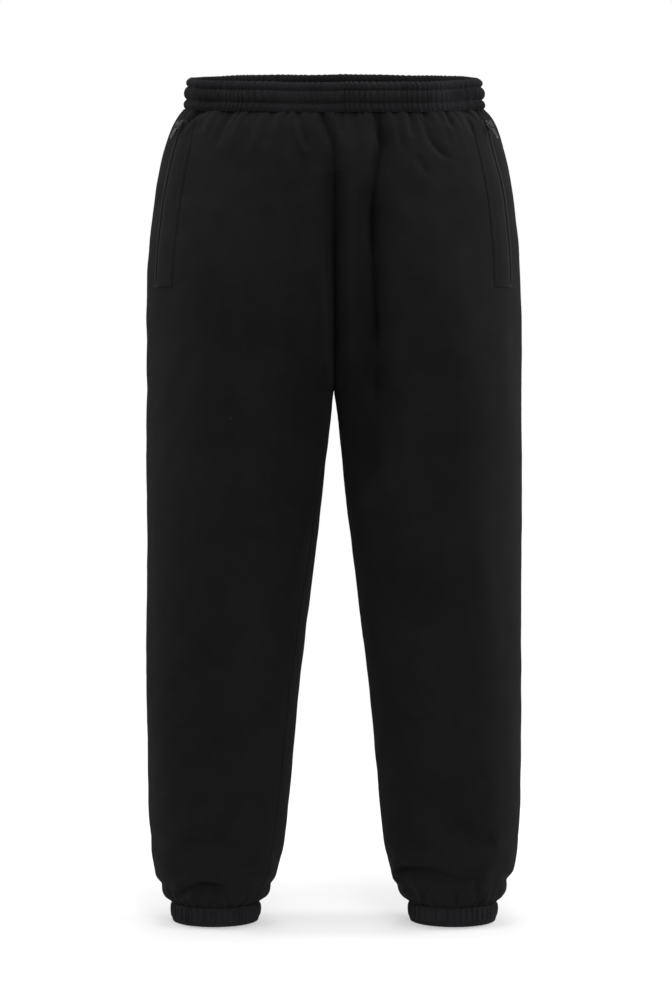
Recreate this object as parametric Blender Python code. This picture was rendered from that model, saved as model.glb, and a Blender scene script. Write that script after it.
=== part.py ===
"""Jogger sweatpants, filled out as when worn: every panel is a real wall of cloth.

Metres, +Z up. The front faces -Y and the wearer's left is +X. The origin is the middle of the waist, level
with the top of the waistband at the side seams. Sizes below are in millimetres and angles in degrees.
"""

import math

import bpy
import numpy as np
from mathutils import Matrix

MM = 0.001

# Cloth and seams.
CLOTH = 2.2
CASING = 4.5
SEAM_GAP = 0.3
HALF_GAP = SEAM_GAP / 2

# Height of the top of the waistband, at the side of the garment.
WAIST_TOP = 0.0

# One row for each cross-section of a leg and its half of the hips. "outer" and "inner" are how far the leg
# reaches across, and below the crotch "inner" is half of the gap between the legs. Above it the two legs'
# ovals overlap, which forms the valley of the rise seam. "lift" is how much higher the back is than the front.
SECTION_COLUMNS = ("height", "outer", "inner", "front", "back", "lift")
SECTIONS = (
    (12, 172.5, -172.5, 109, 112, 33),
    (0, 174.5, -174.5, 111, 114, 33),
    (-36, 178.8, -178.8, 114, 118, 31),
    (-44, 184.8, -181, 117, 121, 30),
    (-56, 192.3, -183.5, 121, 126, 27),
    (-75, 200, -187, 125, 133, 24),
    (-100, 207, -186, 128, 140, 20),
    (-130, 212.5, -175, 130, 146, 15.5),
    (-165, 217, -154, 131, 150, 11),
    (-205, 221, -127, 131, 151, 7.5),
    (-250, 223.5, -96, 129, 148, 4),
    (-290, 224.5, -66, 126, 142, 2),
    (-325, 224.5, -36, 123, 134, 0),
    (-350, 224.5, -15.5, 120, 127, 0),
    (-366, 224.5, -4, 118, 121, 0),
    (-374, 224.5, 0.3, 117, 118, 0),
    (-386, 224.8, 2.2, 115.5, 115, 0),
    (-434, 225.3, 7.6, 110, 108, 0),
    (-530, 225.3, 17.2, 103, 100, 0),
    (-625, 225, 29.4, 96, 94, 0),
    (-721, 225.2, 41.5, 89, 90, 0),
    (-817, 224.6, 49.5, 82, 88, 0),
    (-865, 223.6, 53.8, 79, 86, 0),
    (-913, 221.4, 59.6, 75, 82, 0),
    (-937, 218.4, 64.0, 72, 79, 0),
    (-961, 211.8, 71.6, 65, 71, 0),
    (-973, 207, 77.6, 60, 65, 0),
    (-981, 202.4, 83.2, 55, 60, 0),
    (-986, 196.6, 89.5, 51, 56, 0),
    (-988, 195.4, 91, 50, 55, 0),
    (-1011, 194.4, 92, 50, 55, 0),
)

# Heights at which the leg panels have a row of points.
PANEL_ROWS = (
    -36.3, -42, -48, -58, -75, -100, -130, -165, -205, -250, -273, -297, -322, -343, -358, -368, -374, -384,
    -402, -440, -530, -625, -721, -800, -860, -905, -935, -957, -972, -982, -987.7,
)
POCKET_TOP = -48
POCKET_BOTTOM = -250

# The pocket's lines, as turns round the leg from the side seam (0) to the middle of the front (90): the middle
# of the zip, and the front edge of the welt. The panel has a column of points along each line.
POCKET_COLUMNS = ("height", "zip", "welt")
POCKET_LINES = (
    (-48, 20.5, 31.6),
    (-75, 22.8, 34.6),
    (-145, 21.2, 35.0),
    (-205, 23.3, 37.0),
    (-250, 25.5, 39.3),
)
ZIP_HALF_TURN = 2.25

# How far forward of the leg's innermost edge its inseam lies, as a turn. The right leg hangs a little twisted.
INSEAM_COLUMNS = ("height", "left", "right")
INSEAMS = (
    (-374, 0, 0),
    (-440, 0, 8),
    (-530, 0, 20),
    (-613, 0, 27),
    (-763, 0, 30),
    (-869, 0, 33.5),
    (-988, 0, 36),
)
CROTCH = INSEAMS[0][0]
FRONT_COLUMNS = 10
BACK_COLUMNS = 12
ZIP_BACK_COLUMN = 2
ZIP_FRONT_COLUMN = 3
WELT_FRONT_COLUMN = 5

# The largest folds of the front, as troughs between two places on the front view: across and height at each
# end, half of the width, and the depth. Left is +X.
FOLD_COLUMNS = ("across_top", "top", "across_bottom", "bottom", "half_width", "depth")
FOLDS = (
    (56, -75, 44, -170, 16, 9),
    (44, -170, 34, -440, 17, 11),
    (-29, -265, -42, -520, 24, 8),
)
FOLD_END = 45
FACES_FRONT = 0.45

# The waistband's outer profile: height, and how far it stands out of the plain band.
BAND_PROFILE = (
    (0, -1.6), (-4.5, 0.4), (-10, -0.9), (-17, 0.7), (-24.5, -0.8), (-30.5, 0.8), (-35.7, -0.2),
)
BAND_COLUMNS = 22
BAND_INNER_PLAY = 0.4

# The cuffs' outer profile, in the same way, from the cuff seam down.
CUFF_PROFILE = ((-988.0, -0.3), (-992.5, 1.1), (-999.5, 0.6), (-1006.5, 1.0), (-1011.0, -1.0))
CUFF_COLUMNS = 30

# What lies on the front panels.
ON_PANEL = 0.3
WELT_THICK = 2.0
ZIP_THICK = 1.6
COIL_PROUD = 1.2

# Zip slider and pull tab. Each is made flat, with Y up the zip and Z out of the cloth.
SLIDER_DOWN = 10.0
PLATE_OUTLINE = ((-3.1, -6.0), (3.1, -6.0), (4.3, 2.0), (3.4, 6.0), (-3.4, 6.0), (-4.3, 2.0))
PLATE_THICK = 1.6
BRIDGE_WIDE = 2.0
BRIDGE_OUTLINE = (
    (-4.6, 0.8), (-3.6, 0.8), (-3.6, 4.2), (3.6, 4.2), (3.6, 0.8), (4.6, 0.8), (4.6, 4.3), (3.8, 5.1), (-3.8, 5.1),
    (-4.6, 4.3),
)
HINGE_UP = 2.9
PULL_THICK = 1.3
PULL_OUTLINE = (
    (-2.6, 0.7), (-3.1, 0.1), (-3.1, -15.5), (-2.2, -18.6), (0.0, -19.6), (2.2, -18.6), (3.1, -15.5), (3.1, 0.1),
    (2.6, 0.7),
)
PULL_HOLE = (-1.7, -6.2, 1.7, -0.7)

LEFT = 1
RIGHT = -1
SIDES = {"left": LEFT, "right": RIGHT}


def column(name):
    """The values of one column of the sections, from the top down."""
    place = SECTION_COLUMNS.index(name)
    return np.array([row[place] for row in SECTIONS], float)


def slopes(heights, values):
    """Slopes for a smooth curve through the values that never overshoots them."""
    steps = np.diff(values) / np.diff(heights)
    middle = np.where(steps[:-1] * steps[1:] > 0, 2 * steps[:-1] * steps[1:] / (steps[:-1] + steps[1:] + 1e-12), 0)
    return np.concatenate([steps[:1], middle, steps[-1:]])


def section(height):
    """The sizes of the cross-section at this height, by name."""
    heights = column("height")
    place = int(np.clip(np.searchsorted(-heights, -height) - 1, 0, len(heights) - 2))
    span = heights[place + 1] - heights[place]
    share = (height - heights[place]) / span
    sizes = {}
    for name in SECTION_COLUMNS[1:]:
        values = column(name)
        slope = slopes(heights, values)
        sizes[name] = (
            values[place] * (1 + 2 * share) * (1 - share) ** 2
            + values[place + 1] * share**2 * (3 - 2 * share)
            + span * slope[place] * share * (1 - share) ** 2
            - span * slope[place + 1] * share**2 * (1 - share)
        )
    return sizes


def form_point(side, turn, height):
    """A point of the smooth form, before its folds: turn goes round the leg from the side seam, front positive."""
    sizes = section(height)
    middle = (sizes["outer"] + sizes["inner"]) / 2
    half_width = (sizes["outer"] - sizes["inner"]) / 2
    reach = sizes["front"] if math.sin(turn) > 0 else sizes["back"]
    across = middle + half_width * math.cos(turn)
    depth = -reach * math.sin(turn)
    rise = sizes["lift"] * depth / (sizes["front"] + sizes["back"])
    return np.array([side * across, depth, height + rise])


def form_normal(side, turn, height):
    """The direction out of the cloth."""
    small = 0.01
    round_leg = form_point(side, turn + small, height) - form_point(side, turn - small, height)
    down_leg = form_point(side, turn, height - 1) - form_point(side, turn, height + 1)
    out = np.cross(round_leg, down_leg) * side
    return out / np.linalg.norm(out)


def fold_depth(place):
    """How far the cloth sinks into the folds of the front at this place."""
    depth = 0.0
    for row in FOLDS:
        fold = dict(zip(FOLD_COLUMNS, row))
        start = np.array([fold["across_top"], fold["top"]])
        run = np.array([fold["across_bottom"], fold["bottom"]]) - start
        long = np.linalg.norm(run)
        off = place[[0, 2]] - start
        along = float(off @ run) / long
        beside = float(off[0] * run[1] - off[1] * run[0]) / long
        past_end = max(-along, along - long, 0.0)
        depth += fold["depth"] * math.exp(-((beside / fold["half_width"]) ** 2) - (past_end / FOLD_END) ** 2)
    return depth


def cloth_point(side, turn, height, out=0.0):
    """A point of the folded cloth, moved out of its outer face by out, and the direction out of the cloth."""
    place = form_point(side, turn, height)
    normal = form_normal(side, turn, height)
    facing = min(max(-normal[1] / FACES_FRONT, 0.0), 1.0)
    sink = fold_depth(place) * facing**2 * (3 - 2 * facing)
    return place + normal * (out - sink), normal


def between(rows, columns, name, height):
    """The value of a named column at this height, from rows that run from the top down."""
    place = columns.index(name)
    return float(np.interp(-height, [-row[0] for row in rows], [row[place] for row in rows]))


def seam_turn(side, height, front):
    """The turn at which a panel ends: at the rise seam above the crotch, and at the inseam below it."""
    sizes = section(height)
    if height > CROTCH:
        middle = (sizes["outer"] + sizes["inner"]) / 2
        half_width = (sizes["outer"] - sizes["inner"]) / 2
        return math.acos(max(-1.0, (HALF_GAP - middle) / half_width))
    forward = math.radians(between(INSEAMS, INSEAM_COLUMNS, "left" if side == LEFT else "right", height))
    half_width = (sizes["outer"] - sizes["inner"]) / 2
    reach = sizes["front" if front or forward else "back"]
    pace = math.hypot(half_width * math.sin(forward), reach * math.cos(forward))
    return math.pi - forward - HALF_GAP / pace if front else math.pi + forward - HALF_GAP / pace


def panel_turns(side, height, front):
    """The turns of a panel's points at one height, from the side seam inwards."""
    end = seam_turn(side, height, front)
    if front:
        start = math.asin(HALF_GAP / section(height)["front"])
        middle = between(POCKET_LINES, POCKET_COLUMNS, "zip", height)
        welt = between(POCKET_LINES, POCKET_COLUMNS, "welt", height)
        zip_front = middle + ZIP_HALF_TURN
        pocket = (middle / 2, middle - ZIP_HALF_TURN, zip_front, (zip_front + welt) / 2, welt)
        return [start, *map(math.radians, pocket), *np.linspace(math.radians(welt), end, FRONT_COLUMNS)[1:]]
    start = math.asin(HALF_GAP / section(height)["back"])
    return [-turn for turn in np.linspace(start, end, BACK_COLUMNS)]


def slab_mesh(name, outer, inner, flip, ring=False):
    """A closed mesh between two grids of points. A ring's last column meets its first."""
    rows, columns = outer.shape[:2]
    points = np.concatenate([outer.reshape(-1, 3), inner.reshape(-1, 3)]) * MM
    second = rows * columns
    across = columns if ring else columns - 1
    faces = []
    for i in range(rows - 1):
        for j in range(across):
            beside = (j + 1) % columns
            a, b = i * columns + j, i * columns + beside
            c, d = (i + 1) * columns + beside, (i + 1) * columns + j
            faces.append((a, b, c, d))
            faces.append((second + d, second + c, second + b, second + a))
    for j in range(across):
        beside = (j + 1) % columns
        low, low_beside = (rows - 1) * columns + j, (rows - 1) * columns + beside
        faces.append((beside, j, second + j, second + beside))
        faces.append((low, low_beside, second + low_beside, second + low))
    if not ring:
        for i in range(rows - 1):
            a, d = i * columns, (i + 1) * columns
            faces.append((a, d, second + d, second + a))
            faces.append((d + columns - 1, a + columns - 1, second + a + columns - 1, second + d + columns - 1))
    if flip:
        faces = [face[::-1] for face in faces]
    mesh = bpy.data.meshes.new(name)
    mesh.from_pydata([tuple(point) for point in points], [], faces)
    mesh.update()
    return mesh


def new_object(name, mesh, material):
    piece = bpy.data.objects.new(name, mesh)
    mesh.materials.append(material)
    mesh.shade_smooth()
    mesh.set_sharp_from_angle(angle=math.radians(50))
    bpy.context.scene.collection.objects.link(piece)
    return piece


def panel_grid(side, front):
    """The outer points of a leg panel and the directions out of it, row by row."""
    points, normals = [], []
    for height in PANEL_ROWS:
        found = [cloth_point(side, turn, height) for turn in panel_turns(side, height, front)]
        points.append([place for place, _ in found])
        normals.append([normal for _, normal in found])
    return np.array(points), np.array(normals)


def leg_panel(name, side, front, material):
    outer, normals = panel_grid(side, front)
    flip = (side == LEFT) != front
    return new_object(name, slab_mesh(name, outer, outer - CLOTH * normals, flip), material)


def waistband(name, side, material):
    """Half of the waistband: a flat casing with three elastic channels."""
    start = math.acos(HALF_GAP / section(WAIST_TOP)["outer"])
    turns = np.linspace(start, -start, BAND_COLUMNS)
    outer, inner = [], []
    for height, proud in BAND_PROFILE:
        found = [cloth_point(side, turn, height) for turn in turns]
        outer.append([place + proud * flat(normal) for place, normal in found])
        inner.append([place - (CASING - BAND_INNER_PLAY + proud) * flat(normal) for place, normal in found])
    outer, inner = np.array(outer), np.array(inner)
    for grid in (outer, inner):
        grid[:, [0, -1], 0] = side * HALF_GAP
    return new_object(name, slab_mesh(name, outer, inner, side == LEFT), material)


def flat(normal):
    """The level part of a direction, of length 1."""
    level = np.array([normal[0], normal[1], 0.0])
    return level / np.linalg.norm(level)


def cuff(name, side, material):
    """An elasticated ankle casing, a ring."""
    turns = np.linspace(0, 2 * math.pi, CUFF_COLUMNS, endpoint=False)
    turns = np.where(turns > math.pi, turns - 2 * math.pi, turns)
    outer, inner = [], []
    for height, proud in CUFF_PROFILE:
        found = [cloth_point(side, turn, height) for turn in turns]
        outer.append([place + proud * flat(normal) for place, normal in found])
        inner.append([place - (CASING - BAND_INNER_PLAY + proud) * flat(normal) for place, normal in found])
    return new_object(name, slab_mesh(name, np.array(outer), np.array(inner), side == RIGHT, ring=True), material)


def panel_strip(side, shares, lifts):
    """Rows of points between the pocket's top and bottom, on the front panel's own faces, moved out by lifts.

    Each share is a place between two neighbouring columns of the panel: 2.5 is half-way from column 2 to 3.
    """
    outer, normals = panel_grid(side, front=True)
    rows = [i for i, height in enumerate(PANEL_ROWS) if POCKET_BOTTOM <= height <= POCKET_TOP]
    points = []
    for i in rows:
        line = []
        for share, lift in zip(shares, lifts):
            left = int(share)
            blend = share - left
            place = (1 - blend) * outer[i, left] + blend * outer[i, left + 1]
            normal = (1 - blend) * normals[i, left] + blend * normals[i, left + 1]
            line.append(place + lift * normal / np.linalg.norm(normal))
        points.append(line)
    return np.array(points)


def pocket_welt(name, side, material):
    """The welt covers the panel from the zip to its front edge."""
    first = ZIP_FRONT_COLUMN
    shares = [first + 0.08, first + 1, WELT_FRONT_COLUMN]
    outer = panel_strip(side, shares, [ON_PANEL + WELT_THICK] * len(shares))
    inner = panel_strip(side, shares, [ON_PANEL] * len(shares))
    return new_object(name, slab_mesh(name, outer, inner, side == RIGHT), material)


def zip_strip(name, side, material):
    """The closed zip: its tape, with the coil as a low ridge along the middle."""
    first = ZIP_BACK_COLUMN
    shares = [first, first + 0.24, first + 0.34, first + 0.66, first + 0.76, first + 0.96]
    proud = [0, 0, COIL_PROUD, COIL_PROUD, 0, 0]
    outer = panel_strip(side, shares, [ON_PANEL + ZIP_THICK + ridge for ridge in proud])
    inner = panel_strip(side, shares, [ON_PANEL] * len(shares))
    return new_object(name, slab_mesh(name, outer, inner, side == RIGHT), material)


def zip_frame(side):
    """The place and turn of the slider: X across the zip, Y up it and Z out of the cloth, on the coil's face."""
    height = POCKET_TOP - SLIDER_DOWN
    first = ZIP_BACK_COLUMN
    rise = ON_PANEL + ZIP_THICK + COIL_PROUD + SEAM_GAP
    crest = panel_strip(side, [first + 0.5], [rise])[:, 0]
    up = crest[0] - crest[1]
    reach = SLIDER_DOWN / np.linalg.norm(up)
    place = crest[0] - reach * up
    up = up / np.linalg.norm(up)
    turn = math.radians(between(POCKET_LINES, POCKET_COLUMNS, "zip", height))
    _, out = cloth_point(side, turn, height)
    out = out - up * float(out @ up)
    out = out / np.linalg.norm(out)
    across = np.cross(up, out)
    frame = Matrix.Identity(4)
    for k, axis in enumerate((across, up, out)):
        for i in range(3):
            frame[i][k] = axis[i]
    for i in range(3):
        frame[i][3] = place[i] * MM
    return frame


def prism_mesh(name, outline, low, high, upright=False):
    """A plain prism from an outline that runs anticlockwise. Upright, the outline's plane is Y and Z."""
    count = len(outline)
    if upright:
        points = [(x, a, b) for x in (low, high) for a, b in outline]
    else:
        points = [(a, b, z) for z in (low, high) for a, b in outline]
    faces = [tuple(reversed(range(count))), tuple(range(count, 2 * count))]
    faces += [(i, (i + 1) % count, count + (i + 1) % count, count + i) for i in range(count)]
    mesh = bpy.data.meshes.new(name)
    mesh.from_pydata([tuple(value * MM for value in point) for point in points], [], faces)
    mesh.update()
    return mesh


def helper(name, mesh, frame):
    """An object that a Boolean uses and that is no piece of the garment."""
    guide = bpy.data.objects.new(name, mesh)
    bpy.context.scene.collection.objects.link(guide)
    guide.matrix_world = frame
    guide.hide_render = True
    guide.display_type = "WIRE"
    return guide


def boolean(piece, operation, other):
    modifier = piece.modifiers.new(operation.title(), "BOOLEAN")
    modifier.operation = operation
    modifier.object = other
    modifier.solver = "EXACT"


def zip_slider(name, frame, material):
    """The slider's top plate with its bridge."""
    piece = new_object(name, prism_mesh(name, PLATE_OUTLINE, 0, PLATE_THICK), material)
    piece.matrix_world = frame
    bridge = prism_mesh(name + "_bridge", BRIDGE_OUTLINE, -BRIDGE_WIDE / 2, BRIDGE_WIDE / 2, upright=True)
    boolean(piece, "UNION", helper(name + "_bridge", bridge, frame))
    return piece


def zip_pull(name, frame, material):
    """The pull tab. Its top bar lies under the bridge, and its origin is on that bar's axis."""
    on_axis = frame @ Matrix.Translation((0, 0, HINGE_UP * MM))
    piece = new_object(name, prism_mesh(name, PULL_OUTLINE, -PULL_THICK / 2, PULL_THICK / 2), material)
    piece.matrix_world = on_axis
    x0, y0, x1, y1 = PULL_HOLE
    hole = prism_mesh(name + "_hole", ((x0, y0), (x1, y0), (x1, y1), (x0, y1)), -PULL_THICK, PULL_THICK)
    boolean(piece, "DIFFERENCE", helper(name + "_hole", hole, on_axis))
    return piece


def finish(name, colour, roughness, metallic=0.0):
    material = bpy.data.materials.new(name)
    material.use_nodes = True
    shader = material.node_tree.nodes["Principled BSDF"]
    shader.inputs["Base Color"].default_value = (*colour, 1.0)
    shader.inputs["Roughness"].default_value = roughness
    shader.inputs["Metallic"].default_value = metallic
    return material


def main():
    for old in list(bpy.data.objects):
        bpy.data.objects.remove(old)
    for word, side in SIDES.items():
        leg_panel("front_" + word, side, True, finish("front_" + word, (0.010, 0.010, 0.012), 0.95))
        leg_panel("back_" + word, side, False, finish("back_" + word, (0.010, 0.010, 0.012), 0.95))
        waistband("waistband_" + word, side, finish("waistband_" + word, (0.011, 0.011, 0.013), 0.95))
        cuff("cuff_" + word, side, finish("cuff_" + word, (0.011, 0.011, 0.013), 0.95))
        pocket_welt("pocket_welt_" + word, side, finish("pocket_welt_" + word, (0.010, 0.010, 0.012), 0.95))
        zip_strip("zip_" + word, side, finish("zip_" + word, (0.008, 0.008, 0.009), 0.7))
        frame = zip_frame(side)
        zip_slider("zip_slider_" + word, frame, finish("zip_slider_" + word, (0.05, 0.05, 0.055), 0.35, 1.0))
        zip_pull("zip_pull_" + word, frame, finish("zip_pull_" + word, (0.05, 0.05, 0.055), 0.35, 1.0))


main()
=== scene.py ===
"""Jogger sweatpants in black brushed fleece: the looks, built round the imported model.

The cloth is laid on the same filled-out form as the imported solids, in millimetres, and turned into metres
where a mesh is made. The front faces -Y and the wearer's left is +X.
"""

import math

import bpy
import numpy as np
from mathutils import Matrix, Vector


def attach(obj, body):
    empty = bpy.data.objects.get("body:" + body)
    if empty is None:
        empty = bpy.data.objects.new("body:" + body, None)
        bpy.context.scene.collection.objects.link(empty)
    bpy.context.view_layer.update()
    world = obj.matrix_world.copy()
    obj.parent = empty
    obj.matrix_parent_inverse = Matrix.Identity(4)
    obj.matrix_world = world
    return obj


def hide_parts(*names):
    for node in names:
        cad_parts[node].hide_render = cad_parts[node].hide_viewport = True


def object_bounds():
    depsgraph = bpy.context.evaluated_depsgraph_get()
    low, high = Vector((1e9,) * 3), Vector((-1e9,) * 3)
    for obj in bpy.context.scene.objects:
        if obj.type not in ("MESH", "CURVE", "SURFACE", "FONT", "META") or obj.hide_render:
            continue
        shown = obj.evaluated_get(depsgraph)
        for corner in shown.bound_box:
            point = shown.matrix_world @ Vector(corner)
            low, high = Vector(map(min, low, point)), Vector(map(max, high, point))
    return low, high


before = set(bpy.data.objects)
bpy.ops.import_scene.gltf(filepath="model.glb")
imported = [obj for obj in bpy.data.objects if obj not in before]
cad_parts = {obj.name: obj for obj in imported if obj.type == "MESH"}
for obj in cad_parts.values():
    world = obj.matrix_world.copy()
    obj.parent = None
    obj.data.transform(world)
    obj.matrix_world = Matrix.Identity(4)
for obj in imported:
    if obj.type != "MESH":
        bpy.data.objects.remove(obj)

CAD_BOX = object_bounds()

bl_info = {
    "name": "Jogger sweatpants",
    "version": (1, 0, 0),
    "blender": (4, 5, 0),
    "location": "3D View > Sidebar > Joggers",
    "description": "Builds fleece jogger sweatpants on their packed model",
    "category": "Object",
}

MM = 0.001
GARMENT = "garment"
LEFT, RIGHT = 1, -1
SIDES = {"left": LEFT, "right": RIGHT}

# ---------------------------------------------------------------- the form

SECTION_COLUMNS = ("height", "outer", "inner", "front", "back", "lift")
SECTIONS = (
    (12, 172.5, -172.5, 109, 112, 33),
    (0, 174.5, -174.5, 111, 114, 33),
    (-36, 178.8, -178.8, 114, 118, 31),
    (-44, 184.8, -181, 117, 121, 30),
    (-56, 192.3, -183.5, 121, 126, 27),
    (-75, 200, -187, 125, 133, 24),
    (-100, 207, -186, 128, 140, 20),
    (-130, 212.5, -175, 130, 146, 15.5),
    (-165, 217, -154, 131, 150, 11),
    (-205, 221, -127, 131, 151, 7.5),
    (-250, 223.5, -96, 129, 148, 4),
    (-290, 224.5, -66, 126, 142, 2),
    (-325, 224.5, -36, 123, 134, 0),
    (-350, 224.5, -15.5, 120, 127, 0),
    (-366, 224.5, -4, 118, 121, 0),
    (-374, 224.5, 0.3, 117, 118, 0),
    (-386, 224.8, 2.2, 115.5, 115, 0),
    (-434, 225.3, 7.6, 110, 108, 0),
    (-530, 225.3, 17.2, 103, 100, 0),
    (-625, 225, 29.4, 96, 94, 0),
    (-721, 225.2, 41.5, 89, 90, 0),
    (-817, 224.6, 49.5, 82, 88, 0),
    (-865, 223.6, 53.8, 79, 86, 0),
    (-913, 221.4, 59.6, 75, 82, 0),
    (-937, 218.4, 64.0, 72, 79, 0),
    (-961, 211.8, 71.6, 65, 71, 0),
    (-973, 207, 77.6, 60, 65, 0),
    (-981, 202.4, 83.2, 55, 60, 0),
    (-986, 196.6, 89.5, 51, 56, 0),
    (-988, 195.4, 91, 50, 55, 0),
    (-1011, 194.4, 92, 50, 55, 0),
)
TABLE = {name: np.array([row[i] for row in SECTIONS], float) for i, name in enumerate(SECTION_COLUMNS)}

WAIST_SEAM = -36.0
CROTCH = -374.0
CUFF_SEAM = -988.0
SEAM_CLEAR = -0.04

INSEAM_COLUMNS = ("height", "left", "right")
INSEAMS = (
    (-374, 0, 0),
    (-440, 0, 8),
    (-530, 0, 20),
    (-613, 0, 27),
    (-763, 0, 30),
    (-869, 0, 33.5),
    (-988, 0, 36),
)

POCKET_TOP = -48.0
POCKET_BOTTOM = -250.0
POCKET_COLUMNS = ("height", "zip", "welt")
POCKET_LINES = (
    (-48, 20.5, 31.6),
    (-75, 22.8, 34.6),
    (-145, 21.2, 35.0),
    (-205, 23.3, 37.0),
    (-250, 25.5, 39.3),
)
ZIP_HALF_TURN = 2.25

# ---------------------------------------------------------------- creases

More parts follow.
